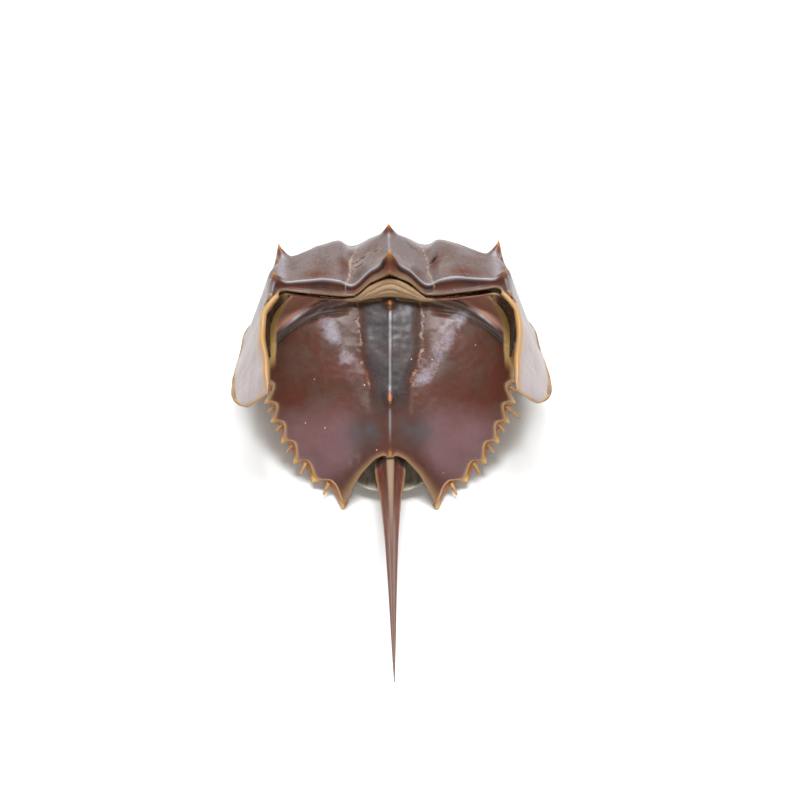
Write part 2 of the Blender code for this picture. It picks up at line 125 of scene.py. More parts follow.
HEAD_SPINES = (
    ((0.0, 1.2), (0.0, 0.0, 22.3), 2.6),
    ((0.0, 12.4), (0.0, 11.9, 21.5), 2.0),
    ((0.0, 20.5), (0.0, 21.0, 15.6), 1.8),
    ((20.9, 1.0), (21.7, 0.1, 17.9), 1.7),
    ((20.6, 10.4), (20.9, 11.9, 17.7), 2.2),
)
SPINE_SHARPNESS = 1.6
SPINE_SWELL = 0.22
SPINE_SWELL_REACH = 1.7
EYE_PLACE = (21.9, 8.6)
EYE_LENGTH = 1.5
EYE_WIDTH = 0.9
EYE_BULGE = 0.4
FACE_FURROWS = ((-0.5, 0.8, 3.7, 7.9, 11.1, 18), (8.3, 8.2, 7.4, 7.3, 6.5, 5.6))
HOLE_PLACE = (8.2, 7.2)
HOLE_SIZE = (0.75, 0.62)
TORN_LINE = ((-7.0, 7.2), (-5.6, 7.6), (-4.4, 7.9), (-3.3, 7.5), (-2.0, 7.6))
SHORT_TORN_LINE = ((-6.6, 6.0), (-5.3, 6.2))
CREASE_LINE = ((8.5, 11.9), (11.0, 11.5), (13.4, 11.2))

# Tail plate, in a frame of its own
MID_STATIONS = (0, 0.16, 0.40, 0.63, 0.82, 1)
MID_Y = (0.0, -5.0, -12.0, -19.2, -25.0, -30.4)
MID_HEIGHT = (7.3, 7.8, 8.0, 7.7, 6.9, 5.8)
SIDE_STATIONS = (0, 0.06, 0.12, 0.18, 0.27, 0.38)
SIDE = (
    (19.6, 2.2, 4.4),
    (21.7, 0.6, 4.0),
    (22.9, -1.6, 3.3),
    (23.4, -4.0, 2.7),
    (23.4, -8.0, 1.9),
    (23.0, -13.2, 1.4),
)
TEETH = (
    (24.1, -13.8, 0.3),
    (23.7, -18.2, 0.3),
    (22.45, -22.1, 0.3),
    (20.45, -26.1, 0.3),
    (18.0, -30.1, 0.3),
    (14.4, -33.7, 0.3),
    (8.9, -39.3, 0.9),
)
TOOTH_SHARES = (0, 0.1, 0.22, 0.45, 0.75, 1)
TOOTH_LOWER = (0.0, 0.9, 1.4, 1.3, 0.65, 0.0)
TOOTH_TOP = 1.0
TOOTH_SCALLOP = 1.15
LAST_SCALLOP = 1.5
TOOTH_DROP = 1.0
LAST_TOOTH_TOP = (-0.12, 0.55, 0.4)
SIDE_DROP = (0.25, 0, -0.9)
OUTLINE_STATIONS = (0, 0.19, 0.38, 0.55, 0.75, 0.9, 1)
OUTLINE_X = (19.6, 23.4, 22.9, 21.4, 17.9, 12.4, 8.55)
OUTLINE_Y = (2.25, -4.5, -14, -20.5, -28.6, -34.5, -38.2)
VAULT = ((0, 0.4, 0.8, 1), (1.6, 2.2, 2.1, 1.6))
KEEL_HEIGHT = 0.9
KEEL_REACH = 5.6
FURROW = ((-30, -18, -15.3, -10.4, -0.9), (3.0, 3.95, 4.3, 5.8, 6.0))
FURROW_DEPTH = 0.4
RIDGE = ((6, 9, 12.6, 15.6, 18.6, 21.7, 23.8), (0.4, 0.2, -0.4, -1.9, -3.9, -6.2, -8))
RIDGE_HEIGHT = 0.85
GROOVE_DEPTH = 0.45
GROOVE_BEHIND = ((8, 12, 16, 20), (2.5, 2.2, 1.5, 1.1))
WING_RISE = 0.5
WING_RIM = ((-14, -9.6, -3.7, -1.0, 0.4, 1.6), (22.4, 22.3, 22.1, 21.0, 20.4, 19.1))
FRONT_EDGE = ((0, 0.41, 0.63, 0.85, 1), (0, -0.8, -0.2, 0.4, 0))
EMBAYMENT = ((0, 0.2, 0.36, 0.59, 0.77, 1), (0, 1.5, 2.1, 2.1, 1.3, 0))
PLATE_SPINES = (
    ((0.0, -1.2), (0.0, -2.0, 9.9), 1.5),
    ((0.0, -19.2), (0.0, -21.2, 9.9), 1.7),
    ((0.0, -29.6), (0.0, -31.0, 6.9), 1.2),
)

EDGE_HEIGHT = ((0, 0.06, 0.12, 0.18, 0.27, 0.4, 0.9, 1), (4.4, 3.4, 2.8, 2.3, 1.7, 1.5, 1.5, 1.6))
INNER_NARROWING = 0.09
# Line beside the middle along which the painted sheen patches lie
SHEEN_LINE = ((-17, -14, -9.8, -5, -2), (5.4, 7.3, 9.1, 11.4, 13.5))
BLOTCH_PLACE = (5.1, -26.2)
BLOTCH_SIZE = (3.4, 2.8)

# Tail spine
SPINE_ROOT = (0.0, -21.6, 5.3)
SPINE_RISE = math.radians(12)
SPINE_TURN = math.radians(0.7)
SPINE_PLACES = (0.0, 2.0, 4.5, 8.0, 12.0, 17.0, 23.5, 29.5, 39.5, 49.5, 59.5)
SPINE_WIDTHS = (4.6, 6.2, 6.0, 5.2, 4.1, 3.4, 2.65, 2.15, 1.45, 0.85, 0.16)
SPINE_HEIGHT_SHARE = 0.72
SPINE_SECTION = ((0, 0.5), (0.1, 0.47), (0.24, 0.14), (0.5, -0.12), (0.32, -0.4), (0, -0.34))

# Movable spines: length on the left and on the right, front to rear
MOVABLE_LENGTHS = ((1.7, 1.7), (1.3, 2.9), (1.1, 1.1), (1.1, 1.1), (1.6, 1.7), (1.5, 1.6))
MOVABLE_RADIUS = 0.34
MOVABLE_LEAN = math.radians(20)
MOVABLE_PLACE = 0.3
MOVABLE_INSET = 2.0
MOVABLE_LIFT = 0.45

# Skin at the hinge
SKIN_WALL = 0.4
SKIN_CORNER = 0.385
SKIN_END = 0.66
SKIN_LOW_Y = ((0, 8.2, 12.5, 16.9, 19.85), (0.75, 0.85, 1.95, 3.05, 3.0))
SKIN_LOW_Z = ((-3, 0, 3, 6, 8.2, 12.5, 16.9, 19.85), (7.1, 7.6, 7.1, 6.6, 6.4, 5.7, 4.6, 3.7))
SKIN_BULGE = ((0, 5, 7.5, 20), (1.1, 0.88, 0.28, 0.22))
SKIN_ARCH = ((-7, -3.7, 0, 3.7, 7, 8.6), (12.7, 15.4, 16.9, 15.4, 12.7, 12.6))
SKIN_SIDE = ((0.385, 0.44, 0.50, 0.56, 0.66), (0, 0.05, 0.11, 0.19, 0.31))
SKIN_SIDE_SAG = 1.3

# Leaves under the tail plate
GILL_COUNT = 6
GILL_REAR = -14.2
GILL_REAR_STEP = -2.65
GILL_LOW = 0.5
GILL_RISE = 0.35
GILL_LENGTH = 13.5
GILL_HALF_WIDTH = 11.5
GILL_NARROWING = 0.55
GILL_ARCH = 7.5
GILL_WALL = 0.25

# Floor, light and camera, in metres and watts
FLOOR_TONE = (0.92, 0.92, 0.92, 1)
SKY_TONE = (1, 0.87, 0.74, 1)
SKY_STRENGTH = 0.24
LIGHT_AIM = (0, -0.03, 0.01)
LIGHTS = (
    ("window", (0.02, 0.16, 0.60), (0.5, 0.25), 6.3, (0.94, 0.98, 1)),
    ("fill left", (-0.45, -0.25, 0.45), (0.4, 0.4), 0.1, (1, 1, 1)),
    ("fill right", (0.45, -0.2, 0.4), (0.4, 0.4), 0.1, (1, 1, 1)),
    ("front fill", (0.0, -0.50, 0.30), (0.3, 0.3), 0.9, (1, 1, 1)),
)
CAMERA_PLACE = (0, -0.34106, 0.37107)
CAMERA_TILT = math.radians(40)
CAMERA_SHIFT = 0.0125

# Fineness of the surfaces
HEAD_COLUMNS = 150
HEAD_FACE_ROWS = 9
HEAD_TOP_ROWS = 52
HEAD_FLANK_ROWS = 38
ROUND_ROWS = 7
PLATE_COLUMNS = 84
SIDE_STEPS = 96
TOOTH_STEPS = 20
SKIN_COLUMNS = 110
SKIN_ROWS = 40
TELSON_AROUND = 14
TELSON_ALONG = 220
GILL_COLUMNS = 46
GILL_ROWS = 30


def tint(red, green, blue):
    """Linear colour from the 0 to 255 values that a picture editor shows."""
    return tuple(((c / 255 + 0.055) / 1.055) ** 2.4 for c in (red, green, blue))


class ShellSizes(bpy.types.PropertyGroup):
    rim_bead: FloatProperty(
        name="Rim bead", description="Height of the raised bead along the rims, in millimetres",
        default=0.16, min=0, max=0.5)
    grain: FloatProperty(
        name="Grain", description="Strength of the fine grain of the horn", default=0.35, min=0, max=1)
    wrinkles: FloatProperty(
        name="Wrinkles", description="Depth of the wrinkles in the hinge skin, in millimetres",
        default=0.16, min=0, max=0.4)
    lens: FloatProperty(
        name="Lens", description="Focal length of the camera, in millimetres", default=113.8, min=20)
    floor: FloatProperty(
        name="Floor", description="Width of the floor", default=6.0, min=0.5, unit="LENGTH")


def colour(name, description, value):
    """Colour setting of the shell."""
    return FloatVectorProperty(
        name=name, description=description, subtype="COLOR", size=3, min=0, max=1, default=value)


class ShellColours(bpy.types.PropertyGroup):
    head: colour("Head shield", "Mauve-grey top of the head shield", tint(118, 104, 102))
    # Red-brown of the rear face, partly its own colour and partly painted shade under the rear ridge
    head_dark: colour("Head shield, deep", "Red-brown below the rear ridge", tint(80, 36, 14))
    lobe: colour("Rear lobes", "Pale lilac of the thin rear lobes", tint(172, 161, 161))
    plate: colour("Tail plate", "Maroon of the tail plate", tint(82, 39, 26))
    plate_mauve: colour("Tail plate, rear", "Mauve of its rear fields", tint(120, 88, 92))
    axis: colour("Tail plate, middle", "Grey zone beside the keel", tint(46, 42, 44))
    wing: colour("Tail plate, front wings", "Pinkish brown in front of the ridge", tint(186, 134, 116))
    pale: colour("Pale line", "Tan of pit rows and furrows", tint(190, 165, 138))
    # Painted highlight: whitish sheen patches beside the middle
    painted_sheen: colour("Bloom", "Whitish bloom beside the middle", tint(164, 156, 166))
    rim: colour("Rims", "Tan-gold of the rims", tint(174, 140, 100))
    amber: colour("Amber", "Amber of the spines", tint(190, 132, 52))
    # Dark olive-brown: painted shade in the groove behind the arched ridge, and dark specks in the pit
    # rows
    groove: colour("Grooves", "Dark olive-brown of grooves and cracks", tint(58, 42, 30))
    skin: colour("Hinge skin", "Tan of the hinge skin", tint(176, 146, 112))
    telson: colour("Tail spine", "Red-brown faces of the tail spine", tint(96, 56, 46))
    telson_keel: colour("Tail spine keel", "Pale keel of the tail spine", tint(148, 126, 104))
    gill: colour("Leaves", "Grey-green of the leaves below", tint(154, 145, 130))
    inside: colour("Inside", "Dull brown of the inner faces", tint(150, 122, 104))


class Wire:
    """A socket of a material on which sums can be written as plain expressions."""

    def __init__(self, paint, socket):
        self.paint = paint
        self.socket = socket

    def sum(self, operation, first, second, clamp=False):
        settings = {"operation": operation, "use_clamp": clamp}
        return self.paint.node("ShaderNodeMath", settings, {0: first, 1: second})

    def __add__(self, other):
        return self.sum("ADD", self, other)

    def __radd__(self, other):
        return self.sum("ADD", other, self)

    def __sub__(self, other):
        return self.sum("SUBTRACT", self, other)

    def __rsub__(self, other):
        return self.sum("SUBTRACT", other, self)

    def __mul__(self, other):
        return self.sum("MULTIPLY", self, other)

    def __rmul__(self, other):
        return self.sum("MULTIPLY", other, self)

    def held(self):
        """The value kept between 0 and 1."""
        return self.sum("ADD", self, 0.0, clamp=True)


class Paint:
    """One material, with short calls for the nodes that the finishes need."""

    def __init__(self, name):
        self.material = bpy.data.materials.new(name)
        self.material.use_nodes = True
        self.tree = self.material.node_tree
        self.shader = self.tree.nodes["Principled BSDF"]
        self.place = self.node("ShaderNodeTexCoord", out="Object")

    def node(self, kind, settings=None, values=None, out=0):
        """Adds a node: its settings first, then the values or wires of its sockets."""
        made = self.tree.nodes.new(kind)
        for key, value in (settings or {}).items():
            setattr(made, key, value)
        for key, value in (values or {}).items():
            if isinstance(value, Wire):
                self.tree.links.new(value.socket, made.inputs[key])
            else:
                made.inputs[key].default_value = value
        return Wire(self, made.outputs[out])

    def mark(self, name):
        """A value that the surface carries."""
        return self.node("ShaderNodeAttribute", {"attribute_name": name}, out="Fac")

    def noise(self, size, detail=3.0, roughness=0.55, stretch=(1, 1, 1)):
        """Soft blotches of about the given size, in millimetres."""
        spread = self.node("ShaderNodeMapping", values={"Vector": self.place, "Scale": stretch})
        values = {"Vector": spread, "Scale": 1 / (size * MM), "Detail": detail, "Roughness": roughness}
        return self.node("ShaderNodeTexNoise", values=values)

    def specks(self, size, radius, share):
        """Small round specks: one in some of the cells of the given size, in millimetres."""
        values = {"Vector": self.place, "Scale": 1 / (size * MM)}
        near = self.node("ShaderNodeTexVoronoi", values=values, out="Distance")
        chosen = self.node("ShaderNodeTexVoronoi", values=values, out="Color")
        picked = self.ramp(chosen, 1 - share, 1 - share + 0.02)
        return self.ramp(near, radius, radius * 0.6) * picked

    def ramp(self, value, low, high):
        """0 up to low, 1 from high on, with a smooth step between."""
        settings = {"interpolation_type": "SMOOTHSTEP", "clamp": True}
        return self.node("ShaderNodeMapRange", settings, {0: value, 1: low, 2: high})

    def mix(self, share, under, over):
        """One colour over another."""
        tones = [c if isinstance(c, Wire) else (*c, 1) for c in (under, over)]
        values = {0: share, 6: tones[0], 7: tones[1]}
        return self.node("ShaderNodeMix", {"data_type": "RGBA"}, values, out=2)

    def layers(self, base, *coats):
        """Colours laid over a base one after the other, each with its share."""
        for share, tone in coats:
            base = self.mix(share, base, tone)
        return base

    def bump(self, height, strength, depth):
        """Relief of the given depth, in millimetres."""
        values = {"Height": height, "Strength": strength, "Distance": depth * MM}
        return self.node("ShaderNodeBump", values=values, out="Normal")

    def finish(self, base, roughness, normal, fixed=None):
        """Links the finish, and sets what is the same all over the surface."""
        for name, value in {"Base Color": base, "Roughness": roughness, "Normal": normal}.items():
            self.tree.links.new(value.socket, self.shader.inputs[name])
        for name, value in (fixed or {}).items():
            self.shader.inputs[name].default_value = value
        return self.material


def through(knots, values, at):
    """Smooth curve through the values at the knots, which never overshoots them."""
    knots = np.asarray(knots, float)
    values = np.asarray(values, float)
    at = np.asarray(at, float)
    shape = at.shape
    at = np.clip(at.ravel(), knots[0], knots[-1])
    values = np.repeat(values[:, None], at.size, axis=1) if values.ndim == 1 else values
    slope = np.diff(values, axis=0) / np.diff(knots)[:, None]
    before, after = slope[:-1], slope[1:]
    total = before + after
    total[total == 0] = 1
    bend = np.where(before * after > 0, 2 * before * after / total, 0)
    tangent = np.vstack([slope[:1], bend, slope[-1:]])
    i = np.clip(np.searchsorted(knots, at, "right") - 1, 0, len(knots) - 2)
    n = np.arange(at.size)
    step = knots[i + 1] - knots[i]
    f = (at - knots[i]) / step
    start = values[i, n] * (1 + 2 * f) * (1 - f) ** 2
    end = values[i + 1, n] * f * f * (3 - 2 * f)
    bulge = tangent[i, n] * f * (1 - f) ** 2 - tangent[i + 1, n] * f * f * (1 - f)
    return (start + end + step * bulge).reshape(shape)


def along(stations, points, at):
    """Points of the smooth curve through a list of points."""
    return np.stack([through(stations, axis, at) for axis in np.transpose(points)], axis=-1)


def ease(low, high, x):
    """0 up to low, 1 from high on, and a smooth step between."""
    f = np.clip((x - low) / (high - low), 0, 1)
    return f * f * (3 - 2 * f)


def hill(x, width):
    """Smooth hill of height 1 at x = 0."""
    return np.exp(-((x / width) ** 2))


def soft_min(a, b, blend):
    """The lower of two heights, with the corner between them rounded."""
    near = np.maximum(blend - np.abs(a - b), 0) / blend
    return np.minimum(a, b) - near * near * blend / 4


def lumps(x, y, size, seed):
    """Smooth irregular field between -1 and 1, with lumps of the given size."""
    lattice = np.random.default_rng(seed).uniform(-1, 1, (64, 64))
    u, v = x / size + 31.7, y / size + 29.3
    i, j = np.floor(u).astype(int), np.floor(v).astype(int)
    f, g = u - i, v - j
    f, g = f * f * (3 - 2 * f), g * g * (3 - 2 * g)
    corner = [lattice[(i + a) % 64, (j + b) % 64] for a, b in ((0, 0), (1, 0), (0, 1), (1, 1))]
    low = corner[0] * (1 - f) + corner[1] * f
    return low * (1 - g) + (corner[2] * (1 - f) + corner[3] * f) * g


def near_line(x, y, line):
    """Distance of each point to a line through a few places."""
    best = np.full(np.shape(x), 1e9)
    for (ax, ay), (bx, by) in zip(line[:-1], line[1:]):
        length = (bx - ax) ** 2 + (by - ay) ** 2
        share = np.clip(((x - ax) * (bx - ax) + (y - ay) * (by - ay)) / length, 0, 1)
        best = np.minimum(best, np.hypot(x - ax - share * (bx - ax), y - ay - share * (by - ay)))
    return best


def head_to_world(p):
    """From the head shield's frame to the object's, in millimetres, without its small turn."""
    c, s = math.cos(NOSE_DOWN), math.sin(NOSE_DOWN)
    y = p[..., 1] * c + p[..., 2] * s
    z = (HEAD_LENGTH - p[..., 1]) * s + p[..., 2] * c
    return np.stack([p[..., 0], y, z], axis=-1)


STRIP = head_to_world(np.array([0, REST_MIDDLE, -(HEAD_LENGTH - REST_MIDDLE) * math.tan(NOSE_DOWN)]))
HINGE = head_to_world(np.array([0.0, 0.0, HINGE_HEIGHT]))


def turned_head(p):
    """From the head shield's frame to the object's, with the shield's small turn at the hinge."""
    w = head_to_world(p)
    c, s = math.cos(HEAD_TURN), math.sin(HEAD_TURN)
    x, y = w[..., 0], w[..., 1] - HINGE[1]
    return np.stack([x * c - y * s, x * s + y * c + HINGE[1], w[..., 2]], axis=-1)


def plate_to_world(p):
    """From the tail plate's frame to the object's, in millimetres."""
    c, s = math.cos(TAIL_DOWN), math.sin(TAIL_DOWN)
    up = p[..., 2] - TAIL_PLATE_FRONT
    y = HINGE[1] + p[..., 1] * c - up * s
    z = HINGE[2] + p[..., 1] * s + up * c
    return np.stack([p[..., 0], y, z], axis=-1)


def head_rim(s):
    """Lower rim of the head shield: an arc in front, then a curve along the side."""
    turn = np.radians(through(RIM_TURN_STATIONS, RIM_TURN, s))
    reach = HEAD_LENGTH - HEAD_ARC_CENTRE
    front_y = HEAD_ARC_CENTRE + reach * np.cos(turn)
    front = np.stack([HEAD_HALF_WIDTH * np.sin(turn), front_y], axis=-1)
    side = along(RIM_SIDE_STATIONS, RIM_SIDE, s)
    return np.where((s < RIM_SIDE_STATIONS[0])[..., None], front, side)


def rim_height(y):
    """Height of the rim: flat on the ground in front, level further back, up at the tips."""
    on_ground = -(HEAD_LENGTH - y) * math.tan(NOSE_DOWN)
    low = -(HEAD_LENGTH - RESTING_ARC) * math.tan(NOSE_DOWN)
    behind = through((*RIM_LIFT_Y, RESTING_ARC), (*RIM_LIFT, low), y)
    return np.where(y > RESTING_ARC, on_ground, behind)


def top_height(x, y):
    """Height of the head shield's upper field, from its five cross-sections."""
    sections = [through(SECTION_X, heights, x) for heights in SECTION_HEIGHTS]
    return through(SECTION_Y, np.array(sections), y)


def head_point(s, d, length):
    """A point of the head shield's outer face, d from the rim along the rib at station s."""
    inner = along(INNER_STATIONS, INNER_MARGIN, s)
    rim = head_rim(s)
    share = np.clip(1 - d / length, 0, 1)
    plan = inner[:, :2] + (rim - inner[:, :2]) * share[:, None]
    plan[:, 1] -= LOBE_ROUNDING * 4 * share * (1 - share) * ease(0.8, 1, s)
    low = rim_height(rim[:, 1])
    flare = FLARE * (1 - 0.9 * ease(0.82, 1, s))
    to_margin = (inner[:, 2] - low) / (length - flare)
    steepness = np.where(s < STEEP_STATIONS[-1], through(STEEP_STATIONS, STEEPNESS, s), to_margin)
    flank = low + steepness * (d - flare * (1 - np.exp(-d / flare)))
    flank += FLANK_BULGE * np.sin(np.pi * share) * hill(s - FLANK_BULGE_PLACE, 0.13)
    top = top_height(plan[:, 0], plan[:, 1]) + ABOVE_LOBE * ease(0.41, 0.5, s)
    return np.column_stack([plan, soft_min(top, flank, through(BLEND_STATIONS, BLEND, s))])


def raise_spines(points, spines):
    """Pulls the surface up to each spine's tip. Returns how far each point was pulled, from 0 to 1."""
    pulled = np.zeros(points.shape[:2])
    for foot, tip, reach in spines:
        apart = np.hypot(points[..., 0] - foot[0], points[..., 1] - foot[1])
        nearest = np.unravel_index(np.argmin(apart), apart.shape)
        away = np.array(tip) - points[nearest]
        sharp = np.clip(1 - apart / reach, 0, 1) ** SPINE_SHARPNESS
        swell = np.clip(1 - apart / (reach * SPINE_SWELL_REACH), 0, 1) ** 2
        pull = sharp * (1 - SPINE_SWELL) + swell * SPINE_SWELL
        pull[nearest] = 1
        points += pull[..., None] * away
        pulled = np.maximum(pulled, pull)
    return pulled


def normals_of(points):
    """Outward directions of a domed grid of points."""
    up = np.cross(np.gradient(points, axis=1), np.gradient(points, axis=0))
    up /= np.linalg.norm(up, axis=-1, keepdims=True) + 1e-9
    return up * np.sign(up[..., 2].mean())


def both_sides(half):
    """A half grid and its mirror image, joined at the mid-plane."""
    flip = np.array([-1, 1, 1]) if half.ndim == 3 else 1
    return np.concatenate([(half * flip)[:0:-1], half], axis=0)


def sheet_piece(name, points, marks, weld=0.0):
    """Object whose mesh is a grid laid through the points, in millimetres in the object's frame."""
    columns, rows = points.shape[:2]
    mesh = bmesh.new()
    bmesh.ops.create_grid(mesh, x_segments=columns - 1, y_segments=rows - 1, size=1)
    data = bpy.data.meshes.new(name)
    mesh.to_mesh(data)
    flat = np.empty(len(data.vertices) * 3, np.float32)
    data.vertices.foreach_get("co", flat)
    flat = flat.reshape(-1, 3)
    i = np.rint((flat[:, 0] + 1) / 2 * (columns - 1)).astype(int)
    j = np.rint((flat[:, 1] + 1) / 2 * (rows - 1)).astype(int)
    placed = (points[i, j] - (0, STRIP[1], 0)) * MM
    data.vertices.foreach_set("co", placed.astype(np.float32).ravel())
    for key, values in marks.items():
        spread = np.broadcast_to(values, (columns, rows))[i, j]
        carried = data.attributes.new(key, "FLOAT", "POINT")
        carried.data.foreach_set("value", spread.astype(np.float32))
    mesh.clear()
    mesh.from_mesh(data)
    if weld:
        bmesh.ops.remove_doubles(mesh, verts=mesh.verts, dist=weld * MM)
        bmesh.ops.dissolve_degenerate(mesh, dist=1e-8, edges=mesh.edges)
    bmesh.ops.recalc_face_normals(mesh, faces=mesh.faces)
    mesh.to_mesh(data)
    mesh.free()
    data.shade_smooth()
    return bpy.data.objects.new(name, data)


def thicken(thing, wall):
    """Gives a sheet its wall, in millimetres."""
    solid = thing.modifiers.new("Wall", "SOLIDIFY")
    solid.thickness = wall * MM
    solid.offset = -1


def settle(thing, material, slot, *nodes):
    """Links a finished piece, gives it its finish and lets it stand for its solids."""
    bpy.context.scene.collection.objects.link(thing)
    thing.data.materials.append(material)
    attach(thing, "root")
    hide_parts(*nodes)


def horn_grain(paint, sizes):
    """Fine grain, scratches and dust of dry horn, as a height."""
    fine = paint.noise(0.35, 4.0, 0.6)
    long = paint.noise(1.6, 3.0, 0.6, stretch=(1, 0.25, 1))
    return fine * sizes.grain + long * 0.6


def head_finish(context):
    """Mauve-grey horn with dark rear face, amber spines, pale furrows and lilac rear lobes; the rear
    face's red-brown is deepened with painted shade, and the crests carry painted highlights.
    """
    sizes, tones = context.scene.shell_sizes, context.scene.shell_colours
    paint = Paint("head shield horn")
    mark, ramp = paint.mark, paint.ramp
    broad = paint.noise(5.0, 4.0, 0.6)
    small = paint.noise(0.7, 4.0, 0.65)
    flecks = paint.noise(0.5, 4.0, 0.75, stretch=(1.6, 0.7, 1))
    streaks = paint.noise(1.1, 4.0, 0.6, stretch=(1, 0.12, 0.5))
    reddish = (mark("warm") * 0.9 + (broad - 0.5) * 0.8).held() * mark("warm")
    crusty = ramp(flecks, 0.58, 0.68) * ramp(broad, 0.42, 0.62)
    pitted = (mark("furrow") + (small - 0.62) * 2.6).held() * mark("furrow")
    lobe = paint.mix(ramp(streaks, 0.42, 0.7) * 0.55, tones.lobe, tint(156, 140, 140))
    # deep: red-brown of the rear face, darkened as painted shade under the rear ridge
    deep = paint.mix(ramp(broad, 0.45, 0.6), tones.head_dark, tint(58, 26, 16))
    edge = paint.mix(ramp(broad, 0.4, 0.6), tones.rim, tint(180, 138, 86))
    base = paint.layers(
        tones.head,
        (ramp(broad, 0.4, 0.65) * 0.7, tint(96, 74, 68)),
        (reddish, tint(94, 54, 42)),
        # Painted highlight along the eye ridges and the middle line
        (mark("light") * 0.45, tint(168, 166, 172)),
        (ramp(small, 0.55, 0.8) * 0.3, tint(150, 142, 144)),
        (ramp(flecks, 0.5, 0.36) * 0.35, tint(66, 52, 50)),
        (crusty * 0.55, tones.pale),
        (mark("lobe"), lobe),
        (mark("face"), deep),
        (mark("arch") * 0.8, tint(118, 92, 74)),
        (pitted * 0.8, tones.pale),
        # Painted highlight: pale bluish-white line along the rear ridge
        (mark("crest") * 0.6, tint(196, 196, 204)),
        (ramp(mark("amber"), 0.12, 0.4) * 0.85, tint(100, 48, 26)),
        (ramp(mark("amber"), 0.5, 0.95), tones.amber),
        (ramp(mark("eye"), 0.14, 0.26) * 0.7, tint(150, 106, 62)),
        (ramp(mark("eye"), 0.34, 0.42), tint(62, 36, 22)),
        (mark("edge"), edge),
        ((mark("chalk") * (small + 0.1)).held(), tones.pale),
        # Dark torn lines, and painted shade on the dented holes
        (mark("crack"), tint(34, 22, 16)),
        (mark("inside"), tones.inside),
        (paint.specks(1.8, 0.06, 0.35) * 0.6, tint(226, 220, 214)),
    )
    rough = 0.34 + small * 0.2 + mark("face") * 0.3 + mark("inside") * 0.25
    normal = paint.bump(horn_grain(paint, sizes), 0.5, 0.06)
    return paint.finish(base, rough, normal, {
        "Coat Weight": 0.12, "Coat Roughness": 0.2, "Specular IOR Level": 0.35,
        "Subsurface Weight": 0.12, "Subsurface Scale": 0.8 * MM, "Subsurface Radius": (1.0, 0.45, 0.3)})


def head_rows():
    """Half grid of the head shield's outer face, from its rear margin to its rim."""
    stations = np.linspace(0, 1, HEAD_COLUMNS) ** 1.12
    shoulder = through(SHOULDER_STATIONS, SHOULDER, stations)
    inner = along(INNER_STATIONS, INNER_MARGIN, stations)
    rim = head_rim(stations)
    length = np.hypot(*(rim - inner[:, :2]).T)
    crest = head_point(stations, length - FACE_DEPTH, length)
    rows, distances = [], []
    for share in np.linspace(0, 1, HEAD_FACE_ROWS, endpoint=False):
        rows.append(inner * (1 - share) + crest * share)
        distances.append(length - FACE_DEPTH * share)
    for share in np.linspace(0, 1, HEAD_TOP_ROWS, endpoint=False):
        distances.append((length - FACE_DEPTH) * (1 - share) + shoulder * share)
    for share in np.linspace(1, 0, HEAD_FLANK_ROWS):
        distances.append(shoulder * share ** 1.2)
    for from_rim in distances[HEAD_FACE_ROWS:]:
        rows.append(head_point(stations, from_rim, length))
    half = np.stack(rows, axis=1)
    half[0, :, 0] = 0
    return half, np.stack(distances, axis=1), shoulder, (stations, rim, inner, length)


def head_flaws(x, y):
    """The hole on one side, and the distance to the torn lines."""
    hole = hill(np.hypot((x - HOLE_PLACE[0]) / HOLE_SIZE[0], (y - HOLE_PLACE[1]) / HOLE_SIZE[1]), 0.9)
    shaken_x = x + 0.35 * lumps(x, y, 0.9, 5)
    shaken_y = y + 0.35 * lumps(x, y, 0.9, 6)
    torn = near_line(shaken_x, shaken_y, TORN_LINE)
    torn = np.minimum(torn, near_line(x, y + 0.3 * lumps(x, y, 0.8, 7), SHORT_TORN_LINE))
    return hole, torn


